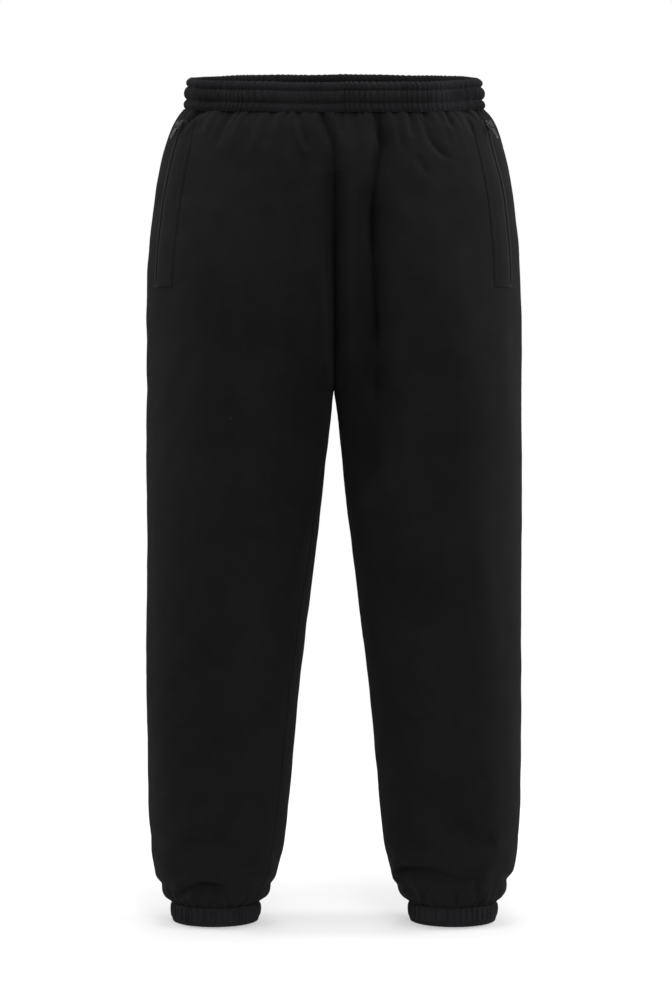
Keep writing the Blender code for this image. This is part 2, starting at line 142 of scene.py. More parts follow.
# Main creases as they lie, by the side they are seen from: half of a crease's width, its depth (a ridge is
# negative), its edge (1 is a sharp fold and 2 a soft one), how much cloth heaps up beside it, and the places
# along it (across, height).
CREASE_COLUMNS = ("half_width", "depth", "edge", "heap", "path")
CREASES = {
    "front": (
        # The centre front, from the waist seam into the rise seam.
        (5, 8, 1.3, 0.15, ((-17, -38), (-13, -58), (-7, -77), (-1, -96), (0, -121), (0, -160))),
        # The long fold down the wearer's left front, with a tubular ridge between it and the rise.
        (6, 18, 1.2, 0.05, ((50, -34), (52, -55), (54, -72), (56, -89), (53, -113), (47, -142), (43, -165),
         (42, -230))),
        (15, 28, 1.7, 0.05, ((49, -130), (43, -165), (42, -245), (38, -302), (37, -350))),
        (20, 15, 2, 0.05, ((42, -230), (38, -302), (36, -383), (33, -442), (31, -520))),
        (5, 10, 1.2, 0.05, ((53, -58), (52, -93), (48, -128), (45, -163), (43, -197), (41, -232), (38, -267),
         (35, -302), (34, -336), (32, -420))),
        (13, -4, 2, 0, ((20, -120), (21, -240), (18, -370))),
        # The broad soft valley inside the wearer's right thigh.
        (22, 9, 2, 0.1, ((-27, -250), (-36, -360), (-40, -477), (-44, -560))),
        # Gathers that fall from the waist seam.
        (4.4, 2, 1.75, 0.2, ((-148, -34), (-153, -50), (-160, -72))),
        (6.3, 2.4, 1.5, 0.2, ((-118, -34), (-124, -50), (-130, -69), (-141, -92))),
        (6.3, 2.2, 1.5, 0.2, ((-87, -36), (-92, -50), (-97, -68), (-105, -95))),
        (6.2, 2, 1.75, 0.2, ((-71, -38), (-74, -51), (-76, -69), (-81, -94))),
        (3.2, -2.6, 1.75, 0, ((-52, -36), (-47, -53), (-42, -78), (-32, -110))),
        (3.2, 3.0, 1.25, 0.1, ((-44, -38), (-42, -56), (-37, -74), (-28, -98))),
        (3.5, 2, 1.55, 0.1, ((9, -40), (9, -58), (7, -80))),
        (4, 3.0, 1.25, 0.15, ((27, -38), (25, -52), (25, -70), (22, -100))),
        (4.4, 2.9, 1.3, 0.15, ((68, -36), (71, -52), (74, -69), (82, -100))),
        (3.4, 3.0, 1.25, 0.15, ((87, -36), (89, -52), (90, -64), (92, -82))),
        (4, 3.6, 1.15, 0.15, ((103, -36), (106, -54), (108, -68), (114, -84), (129, -99), (140, -102))),
        (4.4, 1.4, 1.55, 0.1, ((95, -98), (101, -110), (108, -124))),
        (3.2, 3.6, 1.25, 0.15, ((130, -34), (132, -47), (134, -56), (139, -68))),
        (4, 2.5, 1.55, 0.15, ((151, -32), (155, -45), (159, -58), (165, -76))),
        # Pulls at the top of each pocket.
        (3.6, 5.5, 1.2, 0.3, ((-150, -36), (-161, -45), (-170, -53), (-177, -62), (-183, -72))),
        (3.6, 5.5, 1.2, 0.3, ((159, -32), (169, -39), (175, -47), (182, -56), (188, -68))),
        # Soft pulls over the front thigh and knee.
        (24, 1.4, 2, 0.2, ((-70, -300), (-95, -330), (-125, -345))),
        (24, 1.4, 2, 0.2, ((75, -335), (105, -350), (150, -345))),
        (26, 1.3, 2, 0.2, ((-60, -560), (-90, -590), (-140, -600))),
        (26, 1.3, 2, 0.2, ((70, -600), (110, -625), (160, -620))),
        (26, 1.4, 2, 0.2, ((-190, -700), (-160, -735), (-110, -740))),
        (26, 1.4, 2, 0.2, ((190, -745), (165, -770), (120, -765))),
        # The blouse above each cuff.
        (10, 3.6, 1.8, 0.3, ((-184, -908), (-149, -904), (-123, -908), (-100, -928), (-80, -944))),
        (5, 6, 1.3, 0.25, ((-190, -980), (-178, -967), (-168, -961), (-154, -959), (-136, -961), (-124, -968))),
        (3.2, 2.8, 1.5, 0.2, ((-130, -966), (-128, -976), (-126, -990))),
        (5, 1.8, 1.8, 0.2, ((-110, -950), (-104, -960), (-100, -974))),
        (5.5, 7.5, 1.2, 0.3, ((60, -950), (90, -941), (111, -939), (127, -945), (147, -951), (170, -950))),
        (4, 2.2, 1.5, 0.2, ((166, -950), (170, -965), (173, -982), (174, -992))),
        (2.6, 2.6, 1.4, 0.2, ((144, -964), (145, -975), (146, -989))),
        (3.2, 2.8, 1.5, 0.2, ((107, -964), (107, -978), (107, -992))),
        (4, 1.8, 1.5, 0.2, ((86, -962), (93, -971), (98, -980), (104, -990))),
        (12, 2.0, 2, 0.2, ((190, -898), (176, -906), (150, -904))),
    ),
    "back": (
        # The back: the waist's gathers, and the folds under the seat, behind the knee and above the cuff.
        (5.5, 3.6, 1.6, 0.2, ((-34, -14), (-38, -50), (-48, -110))),
        (5.5, 3.4, 1.6, 0.2, ((-66, -14), (-70, -50), (-80, -96))),
        (5.5, 3.2, 1.6, 0.2, ((-102, -18), (-106, -56), (-112, -100))),
        (5.5, 3.0, 1.6, 0.2, ((-138, -22), (-146, -56), (-150, -92))),
        (5.5, 3.6, 1.6, 0.2, ((28, -14), (30, -50), (38, -112))),
        (5.5, 3.4, 1.6, 0.2, ((56, -14), (66, -56), (70, -92))),
        (5.5, 3.2, 1.6, 0.2, ((94, -18), (98, -56), (108, -104))),
        (5.5, 3.0, 1.6, 0.2, ((130, -22), (140, -60), (141, -90))),
        (15, 5, 1.6, 0.3, ((-24, -352), (-60, -372), (-120, -376), (-170, -360))),
        (14, 3.6, 1.7, 0.3, ((-34, -392), (-80, -412), (-150, -408))),
        (15, 5, 1.6, 0.3, ((22, -356), (66, -378), (130, -380), (176, -368))),
        (14, 3.4, 1.7, 0.3, ((40, -400), (90, -420), (140, -416))),
        (14, 4.5, 1.7, 0.25, ((-30, -410), (-36, -480), (-44, -560))),
        (14, 4.5, 1.7, 0.25, ((32, -405), (35, -470), (46, -575))),
        (18, 4, 1.7, 0.3, ((-80, -640), (-120, -655), (-180, -642))),
        (20, 3, 1.8, 0.3, ((-70, -690), (-125, -706), (-190, -698))),
        (18, 4, 1.7, 0.3, ((75, -655), (125, -668), (185, -652))),
        (20, 2.8, 1.8, 0.3, ((85, -712), (130, -722), (180, -716))),
        (9, 4.6, 1.5, 0.3, ((-190, -905), (-150, -912), (-110, -925), (-80, -930))),
        (5.5, 4.6, 1.4, 0.3, ((-180, -950), (-150, -956), (-120, -952))),
        (4.5, 3.4, 1.5, 0.3, ((-120, -968), (-104, -966), (-92, -958))),
        (9, 4.6, 1.5, 0.3, ((70, -915), (110, -925), (150, -922), (196, -906))),
        (5.5, 4.6, 1.4, 0.3, ((96, -956), (130, -962), (160, -958), (184, -946))),
    ),
    "left": (
        # The outer sides.
        (6, 2.6, 1.7, 0.2, ((24, -20), (28, -60), (40, -118))),
        (6, 2.6, 1.7, 0.2, ((62, -20), (72, -66), (78, -104))),
        (20, 2.4, 1.8, 0.3, ((20, -660), (50, -676), (80, -668))),
        (10, 3.4, 1.6, 0.3, ((-60, -912), (-30, -906), (30, -914), (60, -926))),
        (5.5, 3.6, 1.5, 0.3, ((-40, -955), (0, -962), (44, -956))),
    ),
    "right": (
        (6, 2.6, 1.7, 0.2, ((26, -20), (32, -66), (38, -112))),
        (6, 2.6, 1.7, 0.2, ((60, -20), (66, -66), (72, -98))),
        (20, 2.4, 1.8, 0.3, ((24, -648), (52, -662), (82, -655))),
        (10, 3.4, 1.6, 0.3, ((-56, -902), (-26, -910), (50, -904))),
        (5.5, 3.6, 1.5, 0.3, ((-36, -960), (0, -966), (40, -958))),
    ),
    "inner": (
        # The inner sides.
        (8, 3, 1.6, 0.3, ((-44, -925), (0, -934), (46, -924))),
        (5, 3, 1.5, 0.3, ((-34, -962), (0, -967), (38, -962))),
        (20, 2.0, 2, 0.2, ((10, -470), (40, -486), (70, -480))),
        (20, 2.4, 2, 0.2, ((10, -640), (40, -655), (70, -648))),
    ),
}
VIEW_AXES = {"front": (0, 2), "back": (0, 2), "left": (1, 2), "right": (1, 2), "inner": (1, 2)}
PATH_POINTS = 14
# The share of a crease's length over which each end fades out, and how its depth varies along it.
END_FADE = 0.22
UNEVEN_DEPTH = 0.18
UNEVEN_LENGTH = 23.0


def sizes_at(heights):
    """The cross-sections' sizes at these heights, by name, on curves that never overshoot the table."""
    rows = TABLE["height"]
    heights = np.asarray(heights, float)
    place = np.clip(np.searchsorted(-rows, -heights) - 1, 0, len(rows) - 2)
    span = rows[place + 1] - rows[place]
    t = (heights - rows[place]) / span
    sizes = {}
    for name in SECTION_COLUMNS[1:]:
        values = TABLE[name]
        steps = np.diff(values) / np.diff(rows)
        both = steps[:-1] * steps[1:]
        middle = np.where(both > 0, 2 * both / (steps[:-1] + steps[1:] + 1e-12), 0)
        slope = np.concatenate([steps[:1], middle, steps[-1:]])
        sizes[name] = (
            values[place] * (1 + 2 * t) * (1 - t) ** 2
            + values[place + 1] * t**2 * (3 - 2 * t)
            + span * slope[place] * t * (1 - t) ** 2
            - span * slope[place + 1] * t**2 * (1 - t)
        )
    return sizes


def form_points(side, turns, heights):
    """Points of the smooth form. Turns go round the leg from the side seam (0), to the front positive."""
    sizes = sizes_at(heights)
    middle = (sizes["outer"] + sizes["inner"]) / 2
    half_width = (sizes["outer"] - sizes["inner"]) / 2
    reach = np.where(np.sin(turns) > 0, sizes["front"], sizes["back"])
    across = middle + half_width * np.cos(turns)
    depth = -reach * np.sin(turns)
    rise = sizes["lift"] * depth / (sizes["front"] + sizes["back"])
    return np.stack([side * across, depth, heights + rise], axis=-1)


def unit(vectors):
    return vectors / np.maximum(np.linalg.norm(vectors, axis=-1, keepdims=True), 1e-9)


def form_normals(side, turns, heights):
    small_turn, small_height = 0.01, 1.0
    round_leg = form_points(side, turns + small_turn, heights) - form_points(side, turns - small_turn, heights)
    down_leg = form_points(side, turns, heights - small_height) - form_points(side, turns, heights + small_height)
    return unit(np.cross(round_leg, down_leg) * side)


def level(vectors):
    """The vectors laid level, of length 1."""
    flat = vectors * np.array([1.0, 1.0, 0.0])
    return unit(flat)


def soft_step(low, high, value):
    t = np.clip((value - low) / (high - low), 0, 1)
    return t * t * (3 - 2 * t)


def wander(points, size, seed, waves=26):
    """Soft unevenness between about -1 and 1, with bumps about this size."""
    draw = np.random.default_rng(seed)
    ways = unit(draw.normal(size=(waves, 3)))
    pulls = draw.uniform(0.5, 1.3, waves) * math.pi / size
    shifts = draw.uniform(0, 2 * math.pi, waves)
    return np.cos(points @ (ways * pulls[:, None]).T + shifts).sum(-1) * math.sqrt(2 / waves) * 0.7


PINCH = 1.8


def ripples(along, length, pitch, seed, ring=False):
    """Gathers of uneven pitch and height along a line of this length, between about -1 and 1."""
    draw = np.random.default_rng(seed)
    count = max(3, int(round(length / pitch)))
    steps = draw.uniform(0.55, 1.45, count)
    crests = np.concatenate([[0], np.cumsum(steps)]) * length / steps.sum()
    strength = draw.uniform(0.45, 1.0, count + 1)
    if ring:
        strength[-1] = strength[0]
    phase = np.interp(along, crests, 2 * math.pi * np.arange(count + 1))
    pinched = 1 - 2 * (0.5 - 0.5 * np.cos(phase)) ** PINCH
    return pinched * np.interp(along, crests, strength)


def smooth_path(points, count=PATH_POINTS):
    """A smooth line through the points."""
    points = np.array(points, float)
    ends = np.vstack([2 * points[0] - points[1], points, 2 * points[-1] - points[-2]])
    line = []
    for i in range(1, len(ends) - 2):
        before, start, stop, after = ends[i - 1], ends[i], ends[i + 1], ends[i + 2]
        for t in np.linspace(0, 1, max(3, count // (len(points) - 1)), endpoint=False):
            line.append(
                0.5 * (2 * start + (stop - before) * t + (2 * before - 5 * start + 4 * stop - after) * t**2
                       + (3 * start - before - 3 * stop + after) * t**3)
            )
    line.append(points[-1])
    return np.array(line)


def near_line(places, line):
    """For each place, how far it is from the line and how far along, from 0 to 1. Then the line's length."""
    steps = np.diff(line, axis=0)
    lengths = np.linalg.norm(steps, axis=1)
    total = lengths.sum()
    best = np.full(len(places), 1e9)
    share = np.zeros(len(places))
    passed = 0.0
    for start, step, length in zip(line[:-1], steps, lengths):
        off = places - start
        t = np.clip(off @ step / length**2, 0, 1)
        gap = np.linalg.norm(off - t[:, None] * step, axis=1)
        closer = gap < best
        best[closer] = gap[closer]
        share[closer] = (passed + t[closer] * length) / total
        passed += length
    return best, share, total


def facing(seen_from, side, normals):
    """How squarely the cloth faces that way, from 0 to 1, and 0 for the wrong leg's sides."""
    ways = {"front": (0, -1), "back": (0, 1), "left": (1, 0), "right": (-1, 0), "inner": (-side, 0)}
    if seen_from in SIDES and SIDES[seen_from] != side:
        return np.zeros(len(normals))
    way = np.array(ways[seen_from], float)
    square = soft_step(0.05, 0.45, normals[:, :2] @ way)
    if seen_from in ("front", "back"):
        return square
    return square * (1 - 0.8 * soft_step(0.93, 0.995, np.abs(normals[:, 0])))


def crease_depths(side, points, normals):
    """How far the cloth moves out at each point for all its creases: troughs are negative."""
    moved = np.zeros(len(points))
    for seen_from, row in ((seen_from, row) for seen_from, rows in CREASES.items() for row in rows):
        crease = dict(zip(CREASE_COLUMNS, row))
        line = smooth_path(crease["path"])
        low = line.min(0) - 4 * crease["half_width"]
        high = line.max(0) + 4 * crease["half_width"]
        places = points[:, VIEW_AXES[seen_from]]
        close = ((places > low) & (places < high)).all(1)
        if not close.any():
            continue
        gap, share, length = near_line(places[close], line)
        ends = soft_step(0, END_FADE, share) * soft_step(0, END_FADE, 1 - share)
        wide = crease["half_width"] * (0.75 + 0.25 * ends)
        trough = np.exp(-((gap / wide) ** crease["edge"]))
        heap = crease["heap"] * np.exp(-(((gap - 2.1 * wide) / (1.1 * wide)) ** 2))
        uneven = 1 + UNEVEN_DEPTH * np.sin(share * length / UNEVEN_LENGTH + crease["depth"])
        move = crease["depth"] * uneven * ends * (heap - trough)
        moved[close] += move * facing(seen_from, side, normals[close])
    return moved


def cloth_points(side, turns, heights, lift=0.0, creased=True):
    """Points of the creased cloth, moved out of its face by lift, and the directions out of it."""
    shape = np.broadcast(turns, heights).shape
    turns = np.broadcast_to(turns, shape).ravel()
    heights = np.broadcast_to(heights, shape).ravel()
    points = form_points(side, turns, heights)
    normals = form_normals(side, turns, heights)
    moved = np.zeros(len(points))
    if creased:
        moved += crease_depths(side, points, normals)
        moved += drape(side, turns, heights, points, normals)
    out = np.broadcast_to(np.asarray(lift, float), shape).ravel()
    points = points + normals * (moved + out)[:, None]
    return points.reshape(*shape, 3), normals.reshape(*shape, 3)


WAIST_PACE = 148.0
CUFF_PACE = 53.0
# How far in from the form the panels' edges lie where they are sewn inside the waistband and the cuffs.
TUCKED = {"waist": 2.7, "cuff": 2.2}
# Soft unevenness: how far it moves the cloth, the size of its bumps, and how they are squeezed along X, Y and Z.
BROAD_DRAPE = (1.3, 75, (1.0, 1.0, 1.0))
LONG_DRAPE = (0.7, 55, (1.6, 1.6, 0.6))
FINE_DRAPE = (0.3, 20, (1.0, 1.0, 1.0))
WAIST_DRAPE = (0.8, 36, (2.0, 2.0, 0.4))
CUFF_DRAPE = (1.2, 20, (1.2, 1.2, 1.0))
# Gathers: how far they move the cloth, how far they reach from their seam, and their pitch.
WAIST_GATHERS = (1.2, 17.0, 12)
CUFF_GATHERS = (1.2, 12.0, 10.5)
# How far the cloth dips at the two seams, and how far from them.
WAIST_DIP, CUFF_DIP, DIP_REACH = 0.7, 0.8, 1.5


def swell(points, where, kind, seed):
    """One of the kinds of soft unevenness, as strong at each point as where says."""
    move, size, squeeze = kind
    return move * where * wander(points * squeeze, size, seed)


def gathers(around, pace, from_seam, kind, seed):
    """Gathers all round a leg, which die out away from their seam."""
    move, reach, pitch = kind
    ring = ripples(around * pace, 2 * math.pi * pace, pitch, seed, ring=True)
    return move * np.exp(-np.maximum(from_seam, 0) / reach) * ring


def drape(side, turns, heights, points, normals):
    """The small movement of the cloth everywhere, and the gathers at the waistband and the cuffs."""
    seed = 11 if side == LEFT else 29
    below = WAIST_SEAM - heights
    above = heights - CUFF_SEAM
    free = soft_step(0, 60, below) * soft_step(0, 50, above)
    broad = 0.4 + 0.6 * soft_step(0.1, 0.6, np.abs(normals[:, 1]))
    around = np.mod(turns, 2 * math.pi)
    moved = swell(points, free * broad, BROAD_DRAPE, seed)
    moved += swell(points, free * broad, LONG_DRAPE, seed + 1)
    moved += swell(points, free, FINE_DRAPE, seed + 2)
    moved += gathers(around, WAIST_PACE, below, WAIST_GATHERS, seed + 3)
    moved += swell(points, np.exp(-np.maximum(below, 0) / 55.0), WAIST_DRAPE, seed + 4)
    moved += gathers(around, CUFF_PACE, above, CUFF_GATHERS, seed + 5)
    moved += swell(points, np.exp(-(((above - 30) / 26.0) ** 2)), CUFF_DRAPE, seed + 6)
    moved -= WAIST_DIP * np.exp(-np.maximum(below, 0) / DIP_REACH)
    moved -= CUFF_DIP * np.exp(-np.maximum(above, 0) / DIP_REACH)
    under_band = 1 - soft_step(-2.0, 1.0, below)
    under_cuff = 1 - soft_step(-2.0, 1.0, above)
    moved += (-TUCKED["waist"] - moved) * under_band
    moved += (-TUCKED["cuff"] - moved) * under_cuff
    return moved


# ---------------------------------------------------------------- meshes

def grid_faces(rows, columns, ring=False, flip=False, closed=False):
    """Quads between rows of points. A ring joins each row's ends, and closed joins the last row to the first."""
    faces = []
    for i in range(rows if closed else rows - 1):
        below = (i + 1) % rows
        for j in range(columns if ring else columns - 1):
            beside = (j + 1) % columns
            face = (i * columns + j, i * columns + beside, below * columns + beside, below * columns + j)
            faces.append(face[::-1] if flip else face)
    return faces


def shifted(faces, count):
    """The faces, for points that come after this many others."""
    return [tuple(corner + count for corner in face) for face in faces]


def new_piece(name, points, faces, finish_name, cut=None, stands_for=None, body=GARMENT):
    """A smooth mesh piece, from points in millimetres. cut gives each point's place on the flat cloth."""
    mesh = bpy.data.meshes.new(name)
    mesh.from_pydata((np.asarray(points).reshape(-1, 3) * MM).tolist(), [], faces)
    mesh.update()
    if cut is not None:
        corners = np.zeros(len(mesh.loops), np.int32)
        mesh.loops.foreach_get("vertex_index", corners)
        layer = mesh.uv_layers.new(name="cut")
        layer.uv.foreach_set("vector", (cut.reshape(-1, 2)[corners] * MM).astype(np.float32).ravel())
    mesh.shade_smooth()
    piece = bpy.data.objects.new(name, mesh)
    bpy.context.scene.collection.objects.link(piece)
    mesh.materials.append(finish(finish_name))
    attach(piece, body)
    if stands_for:
        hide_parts(stands_for)
    return piece


def cut_places(points):
    """Each point's place on the cut cloth, in millimetres: along the row, and down."""
    across = np.concatenate(
        [np.zeros((len(points), 1)), np.cumsum(np.linalg.norm(np.diff(points, axis=1), axis=2), axis=1)], axis=1
    )
    middle = points.shape[1] // 2
    across -= across[:, middle:middle + 1]
    steps = np.linalg.norm(np.diff(points[:, middle], axis=0), axis=1)
    down = np.concatenate([[0], np.cumsum(steps)])
    return np.stack([across, np.broadcast_to(-down[:, None], across.shape)], axis=-1)


# ---------------------------------------------------------------- materials

def fill(tree, socket, value):
    """Give a node's input a value, or link it to another node's output."""
    if isinstance(value, bpy.types.NodeSocket):
        tree.links.new(value, socket)
    else:
        socket.default_value = value


def add_node(tree, kind, inputs, **settings):
    """A new shader node with its settings and inputs."""
    node = tree.nodes.new("ShaderNode" + kind)
    for name, value in settings.items():
        setattr(node, name, value)
    for name, value in inputs.items():
        fill(tree, node.inputs[name], value)
    return node


def maths(tree, operation, *terms):
    node = add_node(tree, "Math", {}, operation=operation)
    for socket, term in zip(node.inputs, terms):
        fill(tree, socket, term)
    return node.outputs[0]


def mixed(tree, share, low, high, **settings):
    """A colour between low and high."""
    inputs = {"Factor": share, "A": low, "B": high}
    return add_node(tree, "Mix", inputs, data_type="RGBA", **settings).outputs["Result"]


def noises(tree, *sizes):
    """Noise in the object's own space for each scale, detail and roughness."""
    place = add_node(tree, "TexCoord", {}).outputs["Object"]
    found = []
    for scale, detail, rough in sizes:
        inputs = {"Vector": place, "Scale": scale, "Detail": detail, "Roughness": rough}
        found.append(add_node(tree, "TexNoise", inputs).outputs["Fac"])
    return found


def cloth_axes(tree):
    """Places on the flat cloth, across and down."""
    place = add_node(tree, "UVMap", {}, uv_map="cut").outputs["UV"]
    axes = add_node(tree, "SeparateXYZ", {"Vector": place})
    return axes.outputs["X"], axes.outputs["Y"]


def group_tree(name, inputs, outputs):
    """A node group from its inputs (name, kind, value) and outputs (name, kind).

    Gives the group's tree, the sockets that bring its inputs in, and the sockets that take its outputs.
    """
    tree = bpy.data.node_groups.new(name, "ShaderNodeTree")
    for label, kind, value in inputs:
        socket = tree.interface.new_socket(label, in_out="INPUT", socket_type="NodeSocket" + kind)
        socket.default_value = value
    for label, kind in outputs:
        tree.interface.new_socket(label, in_out="OUTPUT", socket_type="NodeSocket" + kind)
    return tree, tree.nodes.new("NodeGroupInput").outputs, tree.nodes.new("NodeGroupOutput").inputs


FINISH_OUTPUTS = (("Colour", "Color"), ("Roughness", "Float"), ("Height", "Float"))
# Scale, detail and roughness of the fleece's nap, its fluff, the way it lies and its broad patches.
FLEECE_NOISES = ((1500.0, 3.0, 0.65), (420.0, 4.0, 0.6), (38.0, 4.0, 0.55), (9.0, 3.0, 0.5))
SPECK_REACH = 0.016


def fleece_group():
    """Brushed fleece: fine knit wales under a short nap, with soft shading from nap that lies either way."""
    tree, given, out = group_tree(
        "Brushed fleece",
        (
            ("Colour", "Color", (0.01, 0.01, 0.011, 1)), ("Pale colour", "Color", (0.02, 0.02, 0.022, 1)),
            ("Wale width", "Float", 0.0009), ("Nap", "Float", 0.6),
        ),
        FINISH_OUTPUTS,
    )
    x, y = cloth_axes(tree)
    turns = maths(tree, "DIVIDE", 2 * math.pi, given["Wale width"])
    across = maths(tree, "MULTIPLY", x, turns)
    down = maths(tree, "MULTIPLY", maths(tree, "MULTIPLY", y, turns), 0.72)
    zigzag = maths(tree, "MULTIPLY", maths(tree, "SINE", down), 0.9)
    wales = maths(tree, "SINE", maths(tree, "ADD", across, zigzag))
    nap, fluff, lie, broad = noises(tree, *FLEECE_NOISES)

    shade = maths(tree, "MULTIPLY", maths(tree, "SUBTRACT", lie, 0.5), 0.9)
    for noise, weight in ((broad, 0.9), (fluff, 0.7)):
        shade = maths(tree, "MULTIPLY_ADD", maths(tree, "SUBTRACT", noise, 0.5), weight, shade)
    shade = maths(tree, "MULTIPLY_ADD", wales, 0.06, shade)
    share = add_node(tree, "Clamp", {"Value": maths(tree, "ADD", shade, 0.4)}).outputs[0]
    fill(tree, out["Colour"], mixed(tree, share, given["Colour"], given["Pale colour"]))
    fill(tree, out["Roughness"], maths(tree, "MULTIPLY_ADD", fluff, 0.16, 0.84))
    height = maths(tree, "MULTIPLY", wales, maths(tree, "SUBTRACT", 1.0, given["Nap"]))
    height = maths(tree, "MULTIPLY_ADD", nap, given["Nap"], height)
    fill(tree, out["Height"], maths(tree, "MULTIPLY_ADD", fluff, 0.8, height))
    return tree


def lint_group():
    """A few pale specks of lint."""
    tree, given, out = group_tree(
        "Lint specks",
        (
            ("Colour", "Color", (0.01, 0.01, 0.011, 1)), ("Speck colour", "Color", (0.08, 0.08, 0.085, 1)),
            ("Spacing", "Float", 0.03), ("Share", "Float", 0.12),
        ),
        FINISH_OUTPUTS[:1],
    )
    place = add_node(tree, "TexCoord", {}).outputs["Object"]
    scale = maths(tree, "DIVIDE", 1.0, given["Spacing"])
    cells = add_node(tree, "TexVoronoi", {"Vector": place, "Scale": scale}, feature="F1").outputs
    near = maths(tree, "LESS_THAN", cells["Distance"], SPECK_REACH)
    pick = add_node(tree, "SeparateColor", {"Color": cells["Color"]}).outputs[0]
    chosen = maths(tree, "LESS_THAN", pick, given["Share"])
    speck = maths(tree, "MULTIPLY", near, chosen)
    fill(tree, out["Colour"], mixed(tree, speck, given["Colour"], given["Speck colour"]))
    return tree


def wear_group():
    """Uneven shine and fine scratches for small hard trim."""
    tree, given, out = group_tree(
        "Trim wear",
        (
            ("Colour", "Color", (0.05, 0.05, 0.05, 1)), ("Roughness", "Float", 0.4), ("Amount", "Float", 0.1),
            ("Grain", "Float", 500.0),
        ),
        FINISH_OUTPUTS,
    )
    (grain,) = noises(tree, (given["Grain"], 3.0, 0.5))
    spread = maths(tree, "MULTIPLY", maths(tree, "SUBTRACT", grain, 0.5), given["Amount"])
    fill(tree, out["Roughness"], maths(tree, "MULTIPLY_ADD", spread, 4.0, given["Roughness"]))
    fill(tree, out["Height"], grain)
    dulled = mixed(
        tree, maths(tree, "MULTIPLY", grain, 0.6), given["Colour"], (0.6, 0.6, 0.6, 1), blend_type="MULTIPLY"
    )
    fill(tree, out["Colour"], dulled)
    return tree


GROUPS = {}
FINISHES = {}
# The faint light edge of brushed and woven cloth.
SHEEN = {"Sheen Weight": 0.04, "Sheen Roughness": 0.5, "Sheen Tint": (0.30, 0.30, 0.33, 1)}


def grouped(tree, name, inputs):
    """The outputs of one of the shared effects."""
    node = add_node(tree, "Group", {}, node_tree=GROUPS[name])
    for label, value in inputs.items():
        fill(tree, node.inputs[label], value)
    return node.outputs


def new_material(name):
    material = bpy.data.materials.new(name)
    material.use_nodes = True
    return material, material.node_tree


def surface(tree, colour, roughness, height, relief, shine, metallic=0.0):
    """Join up the surface: relief is the bump's strength and its depth in metres."""
    strength, deep = relief
    bump = add_node(tree, "Bump", {"Strength": strength, "Distance": deep, "Height": height})
    values = {
        "Base Color": colour, "Roughness": roughness, "Normal": bump.outputs["Normal"], "Metallic": metallic,
        "Specular IOR Level": shine, **({} if metallic else SHEEN),
    }
    for label, value in values.items():
        fill(tree, tree.nodes["Principled BSDF"].inputs[label], value)


def fleece_material(name, colour, pale, nap, bump):
    material, tree = new_material(name)
    inputs = {"Colour": (*colour, 1), "Pale colour": (*pale, 1), "Nap": nap}
    cloth = grouped(tree, "fleece", inputs)
    lint = grouped(tree, "lint", {"Colour": cloth["Colour"]})
    surface(tree, lint["Colour"], cloth["Roughness"], cloth["Height"], (bump, 0.0004), 0.04)
    return material


def plain_material(name, colour, roughness, amount, grain, metallic=0.0, shine=0.5):
    """A small hard or thread finish."""
    material, tree = new_material(name)
    inputs = {"Colour": (*colour, 1), "Roughness": roughness, "Amount": amount, "Grain": grain}
    wear = grouped(tree, "wear", inputs)
    surface(tree, wear["Colour"], wear["Roughness"], wear["Height"], (0.15, 0.0001), shine, metallic)
    return material


def tape_material(name, colour):
    """Woven tape, with fine ribs along and across it."""
    material, tree = new_material(name)
    warp, weft = [
        maths(tree, "SINE", maths(tree, "MULTIPLY", axis, 2 * math.pi / pitch))
        for axis, pitch in zip(cloth_axes(tree), (0.0006, 0.0009))
    ]
    weave = maths(tree, "MULTIPLY", warp, weft)
    dark, pale = [(*[share * part for part in colour], 1) for share in (0.6, 1.4)]
    woven = mixed(tree, maths(tree, "MULTIPLY_ADD", weave, 0.25, 0.5), dark, pale)
    surface(tree, woven, 0.8, weave, (0.5, 0.0002), 0.08)
    return material


def finish(name):
    """The named finish; all of them are made when the first is asked for."""
    if not FINISHES:
        make_finishes(bpy.context.scene.joggers_colours)
    return FINISHES[name]


# The cuffs' casing is the same fleece as the waistband's, made lighter by this factor: painted light for the light the
# cuffs catch.
CUFF_PAINTED_LIGHT = 1.17


def make_finishes(colours):
    GROUPS.update(fleece=fleece_group(), lint=lint_group(), wear=wear_group())
    # The cuff colours: the casing's colours lightened, as painted light.
    cuff_painted_light_colours = [[CUFF_PAINTED_LIGHT * part for part in colour] for colour in (colours.casing, colours.casing_pale)]
    FINISHES.update(
        fleece=fleece_material("Fleece", colours.cloth, colours.cloth_pale, 0.65, 0.5),
        casing=fleece_material("Casing", colours.casing, colours.casing_pale, 0.55, 0.6),
        cuff=fleece_material("Cuff casing, painted light", *cuff_painted_light_colours, 0.55, 0.6),
        tape=tape_material("Zip tape", colours.tape),
        coil=plain_material("Nylon coil", colours.tape, 0.65, 0.1, 900.0, shine=0.03),
        thread=plain_material("Thread", colours.cloth_pale, 0.6, 0.2, 2600.0, shine=0.15),
        gunmetal=plain_material("Gunmetal", colours.metal, 0.3, 0.1, 500.0, metallic=1.0),
    )


# ---------------------------------------------------------------- pieces

def row_heights(top, bottom, stops, spacings):
    """Heights from top to bottom, spaced as given at the stops."""
    heights = [top]
    while heights[-1] > bottom:
        heights.append(heights[-1] - float(np.interp(-heights[-1], [-stop for stop in stops], spacings)))
    heights = np.array(heights)
    return top + (heights - top) * (bottom - top) / (heights[-1] - top)


def between(rows, columns, name, heights):
    """The values of a named column at these heights, from rows that run from the top down."""
    place = columns.index(name)
    return np.interp(-np.asarray(heights, float), [-row[0] for row in rows], [row[place] for row in rows])


def pocket_turns(name, heights):
    return np.radians(between(POCKET_LINES, POCKET_COLUMNS, name, heights))


